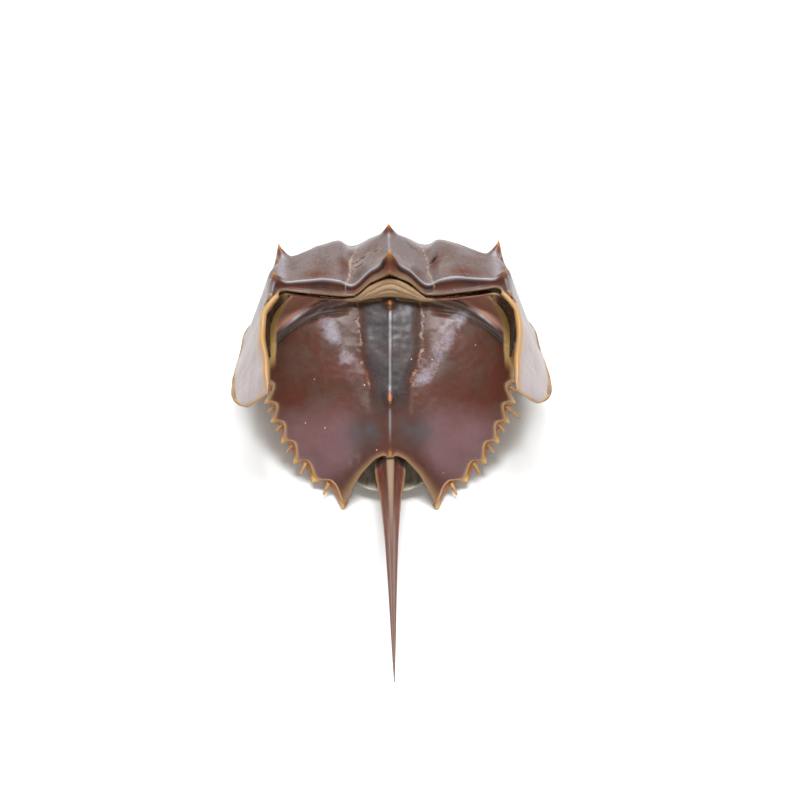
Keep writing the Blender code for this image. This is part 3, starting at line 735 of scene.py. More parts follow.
def build_head(context):
    """Outer and inner grid of the head shield, its marks, and the ribs that its fold needs."""
    half, distances, shoulder, ribs = head_rows()
    plain = both_sides(half)
    pulled = both_sides(raise_spines(half, HEAD_SPINES))
    outer = both_sides(half)
    from_rim = both_sides(distances)
    station = both_sides(ribs[0][:, None])
    rise = both_sides(ribs[-1][:, None]) - from_rim
    x, y = plain[..., 0], plain[..., 1]
    side = np.abs(x)
    front = 1 - ease(0.40, 0.47, station)
    # face: the rear face below the ridge; its dark red-brown is partly the horn's own colour and partly
    # painted shade under the ridge
    face = (1 - ease(FACE_DEPTH - 0.25, FACE_DEPTH + 0.1, rise)) * front
    # crest_line: thin line along the rear ridge; a slight bump, and in the colour a painted highlight
    crest_line = hill(rise - FACE_DEPTH - 0.02, 0.17) * front
    foot_line = hill(rise - 0.1, 0.16) * front
    furrow = hill(side - through(*FACE_FURROWS, y) + 0.25 * lumps(x, y, 0.8, 9), 0.28)
    furrow = furrow * ease(0, 0.6, y) * (1 - ease(13, 17, y)) * front
    eye_reach = np.hypot((side - EYE_PLACE[0]) / EYE_WIDTH, (y - EYE_PLACE[1]) / EYE_LENGTH)
    eye = np.sqrt(np.clip(1 - eye_reach ** 2, 0, 1))
    # The holes are only dents in the surface; the dark paint on them in the crack mark is painted shade
    # for the inside seen through them
    hole, torn = head_flaws(x, y)
    hole += hill(np.hypot((x + 1.4) / 0.4, (rise - 0.9) / 0.35), 0.8) * front
    crack = hill(torn, 0.17) * ease(-0.25, 0.25, lumps(x, y, 0.42, 8))
    crease = hill(near_line(side, y, CREASE_LINE), 0.22)
    bead = hill(from_rim - 0.45, 0.4) + hill(rise - 0.35, 0.35) * (1 - front)
    bead *= 1 - ease(0.9, 0.97, station)
    height = context.scene.shell_sizes.rim_bead * bead + EYE_BULGE * eye
    height += -0.22 * crack - 0.55 * np.clip(hole, 0, 1)
    height += 0.07 * crease + 0.05 * crest_line + 0.12 * foot_line
    height -= 0.45 * hill(rise - 0.62, 0.34) * front * (1 - ease(16, 20, side) * 0.7)
    height += 0.10 * lumps(x, y, 3.5, 1) + 0.04 * lumps(x, y, 1.1, 2)
    height -= 0.07 * furrow * (1 + lumps(x, y, 0.45, 3))
    outer += normals_of(outer) * (height * (1 - pulled))[..., None]
    outer[..., 2] = np.maximum(outer[..., 2], fold_level(outer[..., 1]))
    edge = hill(from_rim, 0.5) + hill(rise, 0.12) * front * 0.6 + hill(rise, 0.65) * (1 - front)
    flank = ease(0.29, 0.37, station) * (1 - ease(0.82, 1.0, from_rim / both_sides(shoulder[:, None])))
    warm = hill(y - 2.6, 2.0) * hill(side - 13.5, 4.5) + hill(y - 6, 2.5) * hill(side - 8.6, 1.6)
    # Painted highlight: pale blue-grey lines along the eye ridges, across the field at y = 13.5 and
    # along the middle line
    light = hill(side - 20.3, 0.9) * ease(0, 2, y) + hill(y - 13.5, 1.6)
    light += hill(side, 0.2) * ease(1, 3, y)
    marks = {
        "lobe": np.maximum(ease(0.42, 0.50, station), flank * 0.9),
        "face": face * (1 - foot_line * 0.8),
        "arch": (1 - ease(0.5, 0.62, rise)) * (1 - ease(5.8, 7.4, side)) * front,
        "furrow": furrow,
        "crest": crest_line,
        "warm": np.clip(warm, 0, 1) * front,
        "light": np.clip(light * (1 - ease(12.5, 14.5, y)), 0, 1) * front,
        "amber": pulled,
        "eye": np.clip(1 - eye_reach / 1.6, 0, 1),
        "edge": np.clip(edge + ease(0.975, 0.995, station), 0, 1),
        "crack": np.clip(crack * 1.3 + hole * 1.6, 0, 1),
        "chalk": hill(torn - 0.35, 0.2) * 0.5,
    }
    thin_out = 1 - ease(0.93, 1, station)
    hidden = plain - normals_of(plain) * (SHELL_WALL * thin_out)[..., None]
    level = fold_level(hidden[..., 1]) + FOLD_LIFT * thin_out
    hidden[..., 2] = np.maximum(hidden[..., 2], level)
    return outer, hidden, marks, ribs


def fold_level(y):
    """Height of the flat strip below the rim, which rests on the ground in front."""
    on_ground = -(HEAD_LENGTH - y) * math.tan(NOSE_DOWN)
    return np.where(y > RESTING_ARC, on_ground, rim_height(y))


def head_fold(stations, rim, inner, length):
    """Rows that round the rim and run inwards along the flat strip below it, for both sides."""
    inward = (inner[:, :2] - rim) / length[:, None]
    fold = through(FOLD_STATIONS, FOLD, stations)
    lift = FOLD_LIFT * (1 - ease(0.93, 1, stations))
    rows = []
    for share in np.linspace(0, 1, ROUND_ROWS)[1:]:
        folded = rim + inward * (fold * share)[:, None]
        rows.append(np.column_stack([folded, fold_level(folded[:, 1])]))
    for share in np.linspace(1, 0.35, ROUND_ROWS)[1:]:
        folded = rim + inward * (fold * share)[:, None]
        rows.append(np.column_stack([folded, fold_level(folded[:, 1]) + lift]))
    half = np.stack(rows, axis=1)
    half[0, :, 0] = 0
    return both_sides(half)


def closed_piece(name, outer, fold, hidden, marks, to_world):
    """Object of an outer face, a fold and an inner face that closes on the outer one."""
    inner_rows = hidden[:, ::-1]
    points = np.concatenate([outer, fold, inner_rows, outer[:, :1]], axis=1)
    carried = {}
    for key, values in marks.items():
        under = np.repeat(values[:, -1:], fold.shape[1], axis=1)
        blank = np.zeros_like(inner_rows[..., 0])
        if key in ("edge", "lobe"):
            blank = values[:, ::-1]
        carried[key] = np.concatenate([values, under, blank, values[:, :1]], axis=1)
    inside = np.zeros(points.shape[:2])
    first = outer.shape[1] + fold.shape[1] - 3
    inside[:, first:-1] = 1 - carried["edge"][:, first:-1]
    carried["inside"] = inside
    return sheet_piece(name, to_world(points), carried, weld=0.002)


class SHELL_OT_head(bpy.types.Operator):
    """Models the head shield"""
    bl_idname = "shell.head"
    bl_label = "Head shield"

    def execute(self, context):
        outer, hidden, marks, ribs = build_head(context)
        hidden[0], hidden[-1] = outer[0], outer[-1]
        fold = head_fold(*ribs)
        fold[0], fold[-1] = outer[0, -1:], outer[-1, -1:]
        thing = closed_piece("prosoma_shell", outer, fold, hidden, marks, turned_head)
        settle(thing, head_finish(context), "head_horn", "prosoma")
        return {"FINISHED"}


def tooth_margin(shares):
    """Upper and lower edge of the toothed margin, tooth by tooth, from front to rear."""
    upper, lower = [], []
    for tooth, (front, rear) in enumerate(zip(np.array(TEETH[:-1]), np.array(TEETH[1:]))):
        depth = LAST_SCALLOP if tooth == len(TEETH) - 2 else TOOTH_SCALLOP
        run = (rear - front)[:2] / np.hypot(*(rear - front)[:2])
        inward = np.array([run[1], -run[0]])
        for w in shares:
            base = front + (rear - front) * w
            deep = TOOTH_TOP + depth * ease(-0.02, 0.34, w) * (1 - ease(0.4, 1, w))
            edge = through(TOOTH_SHARES, TOOTH_LOWER, w) * depth / TOOTH_SCALLOP
            upper.append([*(base[:2] + inward * deep), base[2] + TOOTH_DROP])
            lower.append([*(base[:2] + inward * edge), base[2]])
    return np.array(upper), np.array(lower)


def plate_relief(x, y):
    """Keel, furrow beside it, and the arched ridge with its groove, above the plain vault."""
    keel = KEEL_HEIGHT * np.clip(1 - x / KEEL_REACH, 0, 1) ** 1.4
    furrow = -FURROW_DEPTH * hill(x - through(*FURROW, y), 1) * ease(-24, -19, y)
    behind = y - through(*RIDGE, x)
    arch = RIDGE_HEIGHT * np.where(behind > 0, hill(behind, 2.6), hill(behind, 0.75))
    arch -= GROOVE_DEPTH * hill(behind + through(*GROOVE_BEHIND, x), 0.7)
    wing = WING_RISE * ease(-1, 1.5, behind) * ease(9, 13, x)
    return keel + furrow + arch * ease(6, 10, x) * (1 - ease(20, 23.5, x)) + wing


def build_plate():
    """Half grid of the tail plate: top face, side face of the margin, and inner face."""
    side_stations = np.linspace(0, SIDE_STATIONS[-1], SIDE_STEPS, endpoint=False)
    side = along(SIDE_STATIONS, SIDE, side_stations)
    upper, lower = tooth_margin(np.linspace(0, 1, TOOTH_STEPS, endpoint=False))
    last = np.array(TEETH[-1])
    upper = np.vstack([side, upper, last + LAST_TOOTH_TOP])
    lower = np.vstack([side + SIDE_DROP, lower, last])
    toothed = np.linspace(SIDE_STATIONS[-1], 1, (len(TEETH) - 1) * TOOTH_STEPS + 1)
    stations = np.concatenate([side_stations, toothed])
    y_mid = through(MID_STATIONS, MID_Y, stations)
    z_mid = through(MID_STATIONS, MID_HEIGHT, stations)
    outline_x = through(OUTLINE_STATIONS, OUTLINE_X, stations)
    outline_y = through(OUTLINE_STATIONS, OUTLINE_Y, stations)
    fall = through(*VAULT, stations)
    edge_height = through(*EDGE_HEIGHT, stations)
    shares = 1 - np.linspace(1, 0, PLATE_COLUMNS) ** 1.25
    rows = []
    for u in shares:
        x = outline_x * u + (upper[:, 0] - outline_x) * u ** 8
        y = y_mid + (outline_y - y_mid) * u + (upper[:, 1] - outline_y) * u ** 6
        y += through(*EMBAYMENT, u) * stations ** 5
        y += through(*FRONT_EDGE, u) * (1 - stations) ** 6
        share = np.clip(x / outline_x, 0, 1.2)
        z = z_mid - (z_mid - edge_height) * share ** fall
        rows.append(np.column_stack([x, y, z + plate_relief(x, y)]))
    top = np.stack(rows)
    upper = top[-1]
    hidden = top - (0, 0, SHELL_WALL)
    hidden[..., 0] *= 1 - INNER_NARROWING * (shares ** 4)[:, None]
    pulled = raise_spines(top, PLATE_SPINES)
    top[0, :, 0] = 0
    under = lower + (upper - lower) * (1.5, 1.5, 0) + (0, 0, 0.05)
    out = (lower - upper) * (1, 1, 0)
    corner = []
    for share in np.linspace(0, 1, ROUND_ROWS)[1:]:
        bulge = math.sin(math.pi * share) * 0.12
        corner.append(upper * (1 - share) + lower * share + out * bulge)
    for share in np.linspace(0, 1, 5)[1:]:
        corner.append(lower * (1 - share) + under * share)
    return stations, shares, top, np.stack(corner), hidden, pulled


def plate_marks(x, y, u, s):
    """Marks of the tail plate's top face, and the height of the fine relief on it."""
    side = np.abs(x)
    beside = side - through(*FURROW, y)
    behind = y - through(*RIDGE, side)
    groove = behind + through(*GROOVE_BEHIND, side)
    arch_on = ease(8, 12, side)
    row_on = ease(-20, -16, y)
    ragged = 0.45 * lumps(x, y, 1.3, 23) + 0.25 * lumps(x, y, 0.5, 24)
    zone = (1 - ease(-2.2, 0.6, beside + 1.4 * ragged)) * ease(-25, -18, y)
    blotch = np.hypot((side - BLOTCH_PLACE[0]) / BLOTCH_SIZE[0], (y - BLOTCH_PLACE[1]) / BLOTCH_SIZE[1])
    blotch = hill(blotch, 0.95) * (0.85 + 0.4 * lumps(x, y, 1.4, 25))
    rim_width = 0.02 + 0.022 * (1 - ease(0.3, 0.37, s))
    rim_line = hill(1 - u, rim_width) * (1 - ease(0.97, 1, s)) * ease(0, 0.02, s)
    rear_rim = hill((1 - s) * 22, 0.55)
    front_line = hill(s, 0.014) * ease(1, 2, side)
    beyond = side - through(*WING_RIM, y)
    wing_rim = ease(-0.95, -0.65, beyond) * ease(-12.5, -8, y) * (1 - ease(1.6, 2.2, y))
    pits = hill(beside + ragged, 0.32) * row_on * (0.65 + 0.5 * lumps(x, y, 1.1, 21))
    # Painted highlight: broken whitish patches of glossy sheen beside the middle, painted into the
    # colour
    painted_sheen = hill(side - through(*SHEEN_LINE, y), 1.9) * ease(-19, -15, y)
    painted_sheen *= (1 - ease(-3, -0.5, y)) * (0.55 + 0.6 * lumps(x, y, 2.2, 22))
    # Painted highlight: bluish-white along the crest of the arched ridge, and a thin pale line in front
    # of the groove
    crest = hill(behind - 0.25, 0.3) * arch_on * hill(side - 17.6, 2.2)
    crest *= 0.75 + 0.5 * lumps(x, y, 1.2, 27)
    crest += hill(groove - 0.6, 0.14) * arch_on * (1 - ease(21, 23, side)) * 0.25
    # midline: raised middle line; its share in the crest mark is a painted highlight
    midline = hill(side, 0.18) * ease(-29, -25, y) * (1 - ease(-3.5, -2, y))
    midline *= 0.75 + 0.25 * lumps(x, y, 1.5, 26)
    amber = np.zeros_like(x)
    for (_, foot_y), (_, tip_y, _), reach in PLATE_SPINES:
        mound = np.hypot(side / 0.62, (y - (foot_y + tip_y) / 2) / (reach * 1.15))
        amber = np.maximum(amber, 1 - ease(0.25, 1.25, mound))
    height = 0.14 * rim_line + 0.30 * rear_rim + 0.08 * midline + 0.15 * wing_rim
    height += 0.08 * lumps(x, y, 3.0, 11) + 0.03 * lumps(x, y, 0.9, 12)
    height -= 0.06 * pits * (1 + lumps(x, y, 0.4, 13))
    marks = {
        "mauve": (1 - ease(-27, -17, y)) * ease(4, 9, side) * (1 - ease(0.9, 1, s)),
        "axis": np.clip(zone, 0, 1) * (1 - ease(0.93, 1.0, s)),
        "blotch": np.clip(blotch, 0, 1),
        "wing": ease(0.2, 1.0, behind) * ease(10, 13, side),
        # Painted shade in the groove behind the arched ridge
        "groove": hill(groove, 0.42) * arch_on,
        "painted_sheen": np.clip(painted_sheen, 0, 1),
        "pits": np.clip(pits, 0, 1),
        "rust": hill(beside - 0.2, 0.5) * hill(y + 15.5, 3.0) * 0.8,
        "dry": hill(beside - 0.5, 1.3) * row_on,
        "dark": ease(0.86, 0.99, s) * ease(4, 7, side) * 0.8,
        "crest": np.clip(crest + midline * 0.6, 0, 1),
        "amber": amber,
        "edge": np.clip(rim_line + rear_rim * 0.55 + front_line * 0.6 + wing_rim, 0, 1),
        "gold": wing_rim * 0.5,
    }
    return marks, height


def close_plate(stations, top, corner, hidden, marks):
    """Rows all round the plate's wall, closed at both ends, with their marks."""
    ring = np.concatenate([top, corner, hidden, corner[::-1] * (-1, 1, 1), top[:1]])
    right = slice(len(top), len(top) + len(corner))
    inner = slice(right.stop, right.stop + len(hidden))
    left = slice(inner.stop, -1)
    near_end = np.minimum((stations - stations[0]) * 80, (stations[-1] - stations) * 60)
    share = np.sqrt(1 - (1 - np.clip(near_end, 0, 1)) ** 2)[:, None]
    ring[inner] = top[::-1] * (1 - share) + hidden * share
    for at in (0, -1):
        ring[right, at] = top[-1, at]
        ring[left, at] = top[0, at]
    carried = {key: np.zeros(ring.shape[:2]) for key in (*marks, "side", "inside")}
    for key, values in marks.items():
        carried[key][:len(top)] = values
        carried[key][-1] = values[0]
    amber = np.full(len(corner), 0.8)
    amber[:ROUND_ROWS - 1] = np.linspace(0.6, 1, ROUND_ROWS - 1)
    carried["side"][right] = amber[:, None]
    carried["side"][left] = amber[::-1, None]
    step = np.clip(np.arange(len(stations)) - SIDE_STEPS, 0, None) / TOOTH_STEPS % 1
    at_tip = np.maximum(ease(0.72, 1, step), 1 - ease(0, 0.14, step))
    at_tip = at_tip * (stations > SIDE_STATIONS[-1])
    carried["gold"][right] = at_tip
    carried["gold"][left] = at_tip
    carried["inside"][inner] = 1
    return ring, carried


def plate_finish(context):
    """Glossy maroon horn with grey middle, pale pit rows and amber margin, with painted sheen patches,
    painted highlights on the arched ridge and middle line, and painted shade in the grooves.
    """
    sizes, tones = context.scene.shell_sizes, context.scene.shell_colours
    paint = Paint("tail plate horn")
    mark, ramp = paint.mark, paint.ramp
    broad = paint.noise(6.0, 4.0, 0.6)
    small = paint.noise(0.7, 4.0, 0.65)
    fine = paint.noise(0.25, 3.0, 0.6)
    cloudy = (mark("mauve") + (broad - 0.5) * 0.8).held()
    middle = paint.layers(
        tones.axis,
        (ramp(small, 0.4, 0.7), tint(60, 54, 56)),
        (ramp(broad, 0.45, 0.62) * 0.6, tint(68, 48, 43)),
    )
    # Painted highlight: the sheen patches, broken up by noise
    sheen_patches = (mark("painted_sheen") * 1.1 + (small - 0.55) * 1.8).held() * ramp(mark("painted_sheen"), 0.08, 0.5)
    pitted = (mark("pits") * 1.1 + (fine - 0.62) * 2.4).held() * ramp(mark("pits"), 0.15, 0.6)
    rust = (mark("rust") + (small - 0.62) * 4.0).held() * mark("rust")
    base = paint.layers(
        tones.plate,
        (ramp(broad, 0.35, 0.68), tint(70, 46, 32)),
        (cloudy * 0.85, tones.plate_mauve),
        (mark("axis"), middle),
        (mark("blotch") * 0.8, tint(74, 74, 80)),
        (mark("wing"), tones.wing),
        # Painted shade: dark olive-brown along the groove behind the arched ridge
        ((mark("groove") * (small + 0.75)).held(), tones.groove),
        (sheen_patches * 0.7, tones.painted_sheen),
        (pitted * 0.7, tones.pale),
        (ramp(fine, 0.42, 0.34) * mark("pits"), tones.groove),
        (rust, tint(168, 84, 42)),
        (mark("dark"), tint(64, 26, 20)),
        # Painted highlight on the arched ridge and along the middle line
        (mark("crest") * 0.75, tint(198, 198, 206)),
        (ramp(mark("amber"), 0.0, 0.5) * 0.8, tint(94, 48, 30)),
        (ramp(mark("amber"), 0.55, 1.0) * 0.75, tint(164, 108, 54)),
        (mark("side"), tint(170, 104, 50)),
        (mark("edge"), tones.rim),
        (mark("gold"), tint(214, 172, 90)),
        (mark("inside"), tones.inside),
        (paint.specks(2.2, 0.07, 0.35) * 0.8, tint(226, 216, 208)),
        (ramp(fine, 0.3, 0.7) * 0.05, tint(150, 124, 120)),
    )
    rough = 0.27 + small * 0.22 + mark("painted_sheen") * 0.15 + mark("inside") * 0.25
    rough = rough + mark("dry") * 0.35
    normal = paint.bump(horn_grain(paint, sizes), 0.5, 0.06)
    return paint.finish(base, rough, normal, {
        "Coat Weight": 0.15, "Coat Roughness": 0.15, "Specular IOR Level": 0.35,
        "Subsurface Weight": 0.08, "Subsurface Scale": 0.6 * MM, "Subsurface Radius": (1.0, 0.4, 0.25)})


class SHELL_OT_plate(bpy.types.Operator):
    """Models the tail plate"""
    bl_idname = "shell.plate"
    bl_label = "Tail plate"

    def execute(self, context):
        stations, shares, top, corner, hidden, pulled = build_plate()
        top = both_sides(top)
        from_middle = both_sides(shares[:, None])
        marks, height = plate_marks(top[..., 0], top[..., 1], from_middle, stations[None])
        top = top + normals_of(top) * (height * (1 - both_sides(pulled)))[..., None]
        ring, carried = close_plate(stations, top, corner, both_sides(hidden)[::-1], marks)
        thing = sheet_piece("opisthosoma_shell", plate_to_world(ring), carried, weld=0.002)
        settle(thing, plate_finish(context), "plate_horn", "opisthosoma")
        return {"FINISHED"}


def build_skin(depth):
    """Grid of the skin from the head shield down to the tail plate, with wrinkles of that depth."""
    stations = np.linspace(0, SKIN_END, SKIN_COLUMNS)
    above = along(INNER_STATIONS, INNER_MARGIN, stations)
    x = above[:, 0]
    above[:, 2] = np.where(x < 8, through(*SKIN_ARCH, x), above[:, 2])
    on_side = ease(SKIN_CORNER - 0.02, SKIN_CORNER + 0.06, stations)
    top = head_to_world(above + (0, 0.2, -SHELL_WALL - 0.1))
    plate_edge = np.column_stack([x, through(*SKIN_LOW_Y, x), through(*SKIN_LOW_Z, x)])
    flank = along(SIDE_STATIONS, SIDE, through(*SKIN_SIDE, stations)) + (-0.7, 0, -0.7)
    at_side = (stations > SKIN_CORNER)[:, None]
    bottom = plate_to_world(np.where(at_side, flank, plate_edge))
    bulge = through(*SKIN_BULGE, x) * (1 - on_side)
    rows = []
    for w in np.linspace(1, 0, SKIN_ROWS):
        row = top * (1 - w) + bottom * w
        row[:, 1] -= bulge * math.sin(math.pi * w) ** 0.8
        row[:, 2] -= on_side * SKIN_SIDE_SAG * math.sin(math.pi * w)
        rows.append(row)
    points = both_sides(np.stack(rows, axis=1))
    flanks = both_sides(np.repeat(on_side[:, None], SKIN_ROWS, axis=1))
    w = np.repeat(np.linspace(1, 0, SKIN_ROWS)[None], points.shape[0], axis=0)
    across = points[..., 0]
    waves = np.sin(w * 26 + 0.9 * np.cos(across * 0.55) + 1.3 * lumps(across, w * 6, 1.8, 31))
    waves *= np.sin(np.pi * w) ** 0.6
    points[..., 1] -= depth * waves
    points[..., 2] += depth * 0.6 * waves
    reach = np.abs(across)
    return points, {
        # crest: 1 on the wrinkles' crests, 0 in their troughs; the troughs get painted shade
        "crest": (waves + 1) / 2,
        "flank": flanks,
        # strip: the skin's sides beyond the hinge arch, darkened there partly as painted shade in the
        # gaps
        "strip": ease(7.5, 9, reach),
        "corner": hill(reach - 19.6, 1.1) * (1 - flanks * 0.6),
    }


def skin_finish(context):
    """Tan skin with painted shade: brown in the troughs of its wrinkles, and dark with crusty bits in
    the slits at its sides.
    """
    tones = context.scene.shell_colours
    paint = Paint("hinge skin")
    mark, ramp = paint.mark, paint.ramp
    small = paint.noise(0.6, 4.0, 0.6)
    # Painted shade in the slits between the head's rear lobes and the tail plate: dark brown, with pale
    # crusty bits
    shade_and_crust = paint.mix(ramp(small, 0.55, 0.7), tint(48, 30, 20), tint(150, 118, 78))
    base = paint.layers(
        tint(112, 74, 50),
        # Brown base is painted shade in the troughs of the wrinkles; tan on their crests
        ((mark("crest") * 0.8 + small * 0.4).held(), tones.skin),
        (ramp(small, 0.6, 0.8) * 0.6, tint(206, 184, 150)),
        # Darker red-brown on the sides: partly the skin's own tone, partly painted shade in the gaps
        # there
        (mark("strip") * 0.85, tint(112, 62, 46)),
        (mark("flank"), shade_and_crust),
        ((mark("corner") + (small - 0.5) * 1.2).held() * mark("corner"), tint(168, 142, 96)),
    )
    normal = paint.bump(paint.noise(0.3, 4.0, 0.6), 0.5, 0.06)
    fixed = {"Subsurface Weight": 0.1, "Subsurface Scale": 0.5 * MM}
    return paint.finish(base, 0.42 + small * 0.2, normal, fixed)


class SHELL_OT_skin(bpy.types.Operator):
    """Models the wrinkled skin at the hinge"""
    bl_idname = "shell.skin"
    bl_label = "Hinge skin"

    def execute(self, context):
        thing = sheet_piece("hinge_skin", *build_skin(context.scene.shell_sizes.wrinkles))
        thicken(thing, SKIN_WALL)
        settle(thing, skin_finish(context), "hinge_skin", "hinge_membrane")
        return {"FINISHED"}


def spine_section():
    """Rounded outline of the tail spine's cross-section, one wide, from its top all the way round."""
    right = np.array(SPINE_SECTION)
    left = right[-2:0:-1] * (-1, 1)
    corners = np.vstack([right, left, right[:1]])
    knots = np.arange(len(corners))
    fine = np.linspace(0, knots[-1], TELSON_AROUND * knots[-1] // 2 + 1)
    around = np.column_stack([np.interp(fine, knots, corners[:, k]) for k in (0, 1)])
    for _ in range(4):
        ring = around[:-1]
        ring = (np.roll(ring, 1, 0) + np.roll(ring, -1, 0) + 2 * ring) / 4
        around = np.vstack([ring, ring[:1]])
    return around


def build_telson():
    """Grid of the tail spine from its root to its tip, with its marks."""
    around = spine_section()
    reach = SPINE_PLACES[-1]
    places = reach * np.linspace(0, 1, TELSON_ALONG) ** 1.15
    widths = through(SPINE_PLACES, SPINE_WIDTHS, places)
    widths[0] = 0.2
    widths[1:5] *= (0.62, 0.82, 0.93, 0.98)
    ahead = np.array([math.sin(SPINE_TURN), -math.cos(SPINE_RISE), math.sin(SPINE_RISE)])
    upward = np.array([0, math.sin(SPINE_RISE), math.cos(SPINE_RISE)])
    centre = np.array(SPINE_ROOT) + places[:, None] * ahead
    section = around[:, None, :] * widths[None, :, None]
    points = centre + section[..., :1] * (1, 0, 0)
    points = points + section[..., 1:] * SPINE_HEIGHT_SHARE * upward
    width, height = np.abs(around[:, :1]), around[:, 1:]
    return points, {
        "keel": (1 - ease(0.09, 0.14, width)) * ease(0.1, 0.2, height),
        "edge": ease(0.38, 0.45, width),
        "far": places / reach,
    }


def telson_finish(context):
    """Red-brown horn with a pale keel and tan side edges, paler towards the tip."""
    sizes, tones = context.scene.shell_sizes, context.scene.shell_colours
    paint = Paint("tail spine horn")
    mark, ramp = paint.mark, paint.ramp
    small = paint.noise(0.8, 4.0, 0.6, stretch=(1, 0.3, 1))
    far = mark("far")
    near = 1 - ramp(far, 0.12, 0.5) * 0.8
    base = paint.layers(
        tint(84, 36, 26),
        (ramp(far, 0.02, 0.3), tones.telson),
        (ramp(far, 0.35, 1.0), tint(100, 66, 46)),
        (ramp(small, 0.35, 0.7) * 0.4, tint(124, 84, 70)),
        (mark("keel") * near * 0.85, tones.telson_keel),
        (mark("edge") * near * 0.6, tones.rim),
    )
    normal = paint.bump(horn_grain(paint, sizes), 0.4, 0.05)
    fixed = {"Coat Weight": 0.25, "Coat Roughness": 0.25}
    return paint.finish(base, 0.3 + small * 0.2, normal, fixed)


class SHELL_OT_telson(bpy.types.Operator):
    """Models the tail spine"""
    bl_idname = "shell.telson"
    bl_label = "Tail spine"

    def execute(self, context):
        thing = sheet_piece("telson_spine", *build_telson(), weld=0.001)
        settle(thing, telson_finish(context), "spine_horn", "telson")
        return {"FINISHED"}


def spine_mesh(name, start, end, radius):
    """Turned spike with a swollen root and a blunt tip, from start to end, in metres."""
    axis = Vector(end - start)
    profile = ((0, 0.0), (0.75, 0.0), (1.15, 0.06), (1.25, 0.14), (1.05, 0.24), (0.85, 0.42),
               (0.72, 0.7), (0.6, 0.92), (0.4, 0.985), (0, 1.0))
    mesh = bmesh.new()
    line = [mesh.verts.new((r * radius, 0, h * axis.length)) for r, h in profile]
    edges = [mesh.edges.new(pair) for pair in zip(line[:-1], line[1:])]
    bmesh.ops.spin(mesh, geom=line + edges, cent=(0, 0, 0), axis=(0, 0, 1), dvec=(0, 0, 0),
                   angle=math.tau, steps=16, use_merge=True, use_duplicate=False)
    bmesh.ops.remove_doubles(mesh, verts=mesh.verts, dist=1e-7)
    bmesh.ops.recalc_face_normals(mesh, faces=mesh.faces)
    turn = axis.to_track_quat("Z", "Y").to_matrix().to_4x4()
    bmesh.ops.transform(mesh, matrix=Matrix.Translation(Vector(start)) @ turn, verts=mesh.verts)
    data = bpy.data.meshes.new(name)
    mesh.to_mesh(data)
    mesh.free()
    data.shade_smooth()
    return bpy.data.objects.new(name, data)


class SHELL_OT_movable_spines(bpy.types.Operator):
    """Models the movable spines in the notches of the margin"""
    bl_idname = "shell.movable_spines"
    bl_label = "Movable spines"

    def execute(self, context):
        finish = amber_finish()
        for tooth, lengths in enumerate(MOVABLE_LENGTHS):
            front, rear = np.array(TEETH[tooth]), np.array(TEETH[tooth + 1])
            run = (rear - front)[:2] / np.hypot(*(rear - front)[:2])
            outward = np.array([-run[1], run[0]])
            lean = outward * math.cos(MOVABLE_LEAN) + run * math.sin(MOVABLE_LEAN)
            foot = front + (rear - front) * MOVABLE_PLACE
            foot[:2] -= outward * MOVABLE_INSET
            foot[2] += MOVABLE_LIFT
            for side, length in zip((-1, 1), lengths):
                tip = foot + (*(lean * (length + MOVABLE_INSET - 1)), -0.25)
                ends = [(plate_to_world(p) * (side, 1, 1) - (0, STRIP[1], 0)) * MM for p in (foot, tip)]
                node = f"movable_spine_{'left' if side < 0 else 'right'}_{tooth + 1}"
                thing = spine_mesh(f"{node}_horn", *ends, MOVABLE_RADIUS * MM)
                settle(thing, finish, "amber_horn", node)
        return {"FINISHED"}


def amber_finish():
    """Amber horn with paler blotches."""
    paint = Paint("amber horn")
    small = paint.noise(0.5, 3.0, 0.6)
    base = paint.mix(paint.ramp(small, 0.35, 0.7), tint(172, 120, 60), tint(200, 164, 104))
    normal = paint.bump(paint.noise(0.2), 0.3, 0.03)
    fixed = {"Subsurface Weight": 0.3, "Subsurface Scale": 0.5 * MM, "Coat Weight": 0.3}
    return paint.finish(base, 0.3 + small * 0.1, normal, fixed)


def build_leaf(leaf):
    """Grid of one leaf, the front one being 0, with its marks."""
    across = np.linspace(0, 1, GILL_COLUMNS)
    shares = 1 - np.linspace(0, 1, GILL_ROWS) ** 1.4
    rear = GILL_REAR + GILL_REAR_STEP * leaf
    low = GILL_LOW + GILL_RISE * leaf
    rows = []
    for back in shares:
        width = GILL_HALF_WIDTH - GILL_NARROWING * leaf - 1.5 * back
        ahead = GILL_LENGTH * (1 - back)
        y = rear + ahead + back * (3.6 * across ** 3 + 1.0 * (1 - across) ** 6)
        z = low + 0.05 * ahead + GILL_ARCH * (ahead / GILL_LENGTH) ** 4
        rows.append(np.column_stack([across * width, y, np.full(GILL_COLUMNS, z)]))
    points = both_sides(np.stack(rows, axis=1))
    x, y = points[..., 0], points[..., 1]
    points[..., 2] += 0.05 * lumps(x, y, 2.4, 40 + leaf) - 0.08 * hill(x, 0.25)
    return points, {"edge": ease(0.94, 0.99, shares), "seam": hill(x, 0.3)}


def gill_finish(context):
    """Thin grey-green leaf with a pale edge."""
    paint = Paint("gill leaf")
    small = paint.noise(0.9, 4.0, 0.6, stretch=(1, 0.35, 1))
    base = paint.layers(
        context.scene.shell_colours.gill,
        (paint.ramp(small, 0.35, 0.7), tint(112, 104, 84)),
        (paint.mark("edge") * 0.8, tint(206, 200, 180)),
        (paint.mark("seam") * 0.5, tint(84, 70, 56)),
    )
    normal = paint.bump(small, 0.5, 0.08)
    fixed = {"Subsurface Weight": 0.15, "Subsurface Scale": 0.5 * MM}
    return paint.finish(base, 0.35 + small * 0.2, normal, fixed)


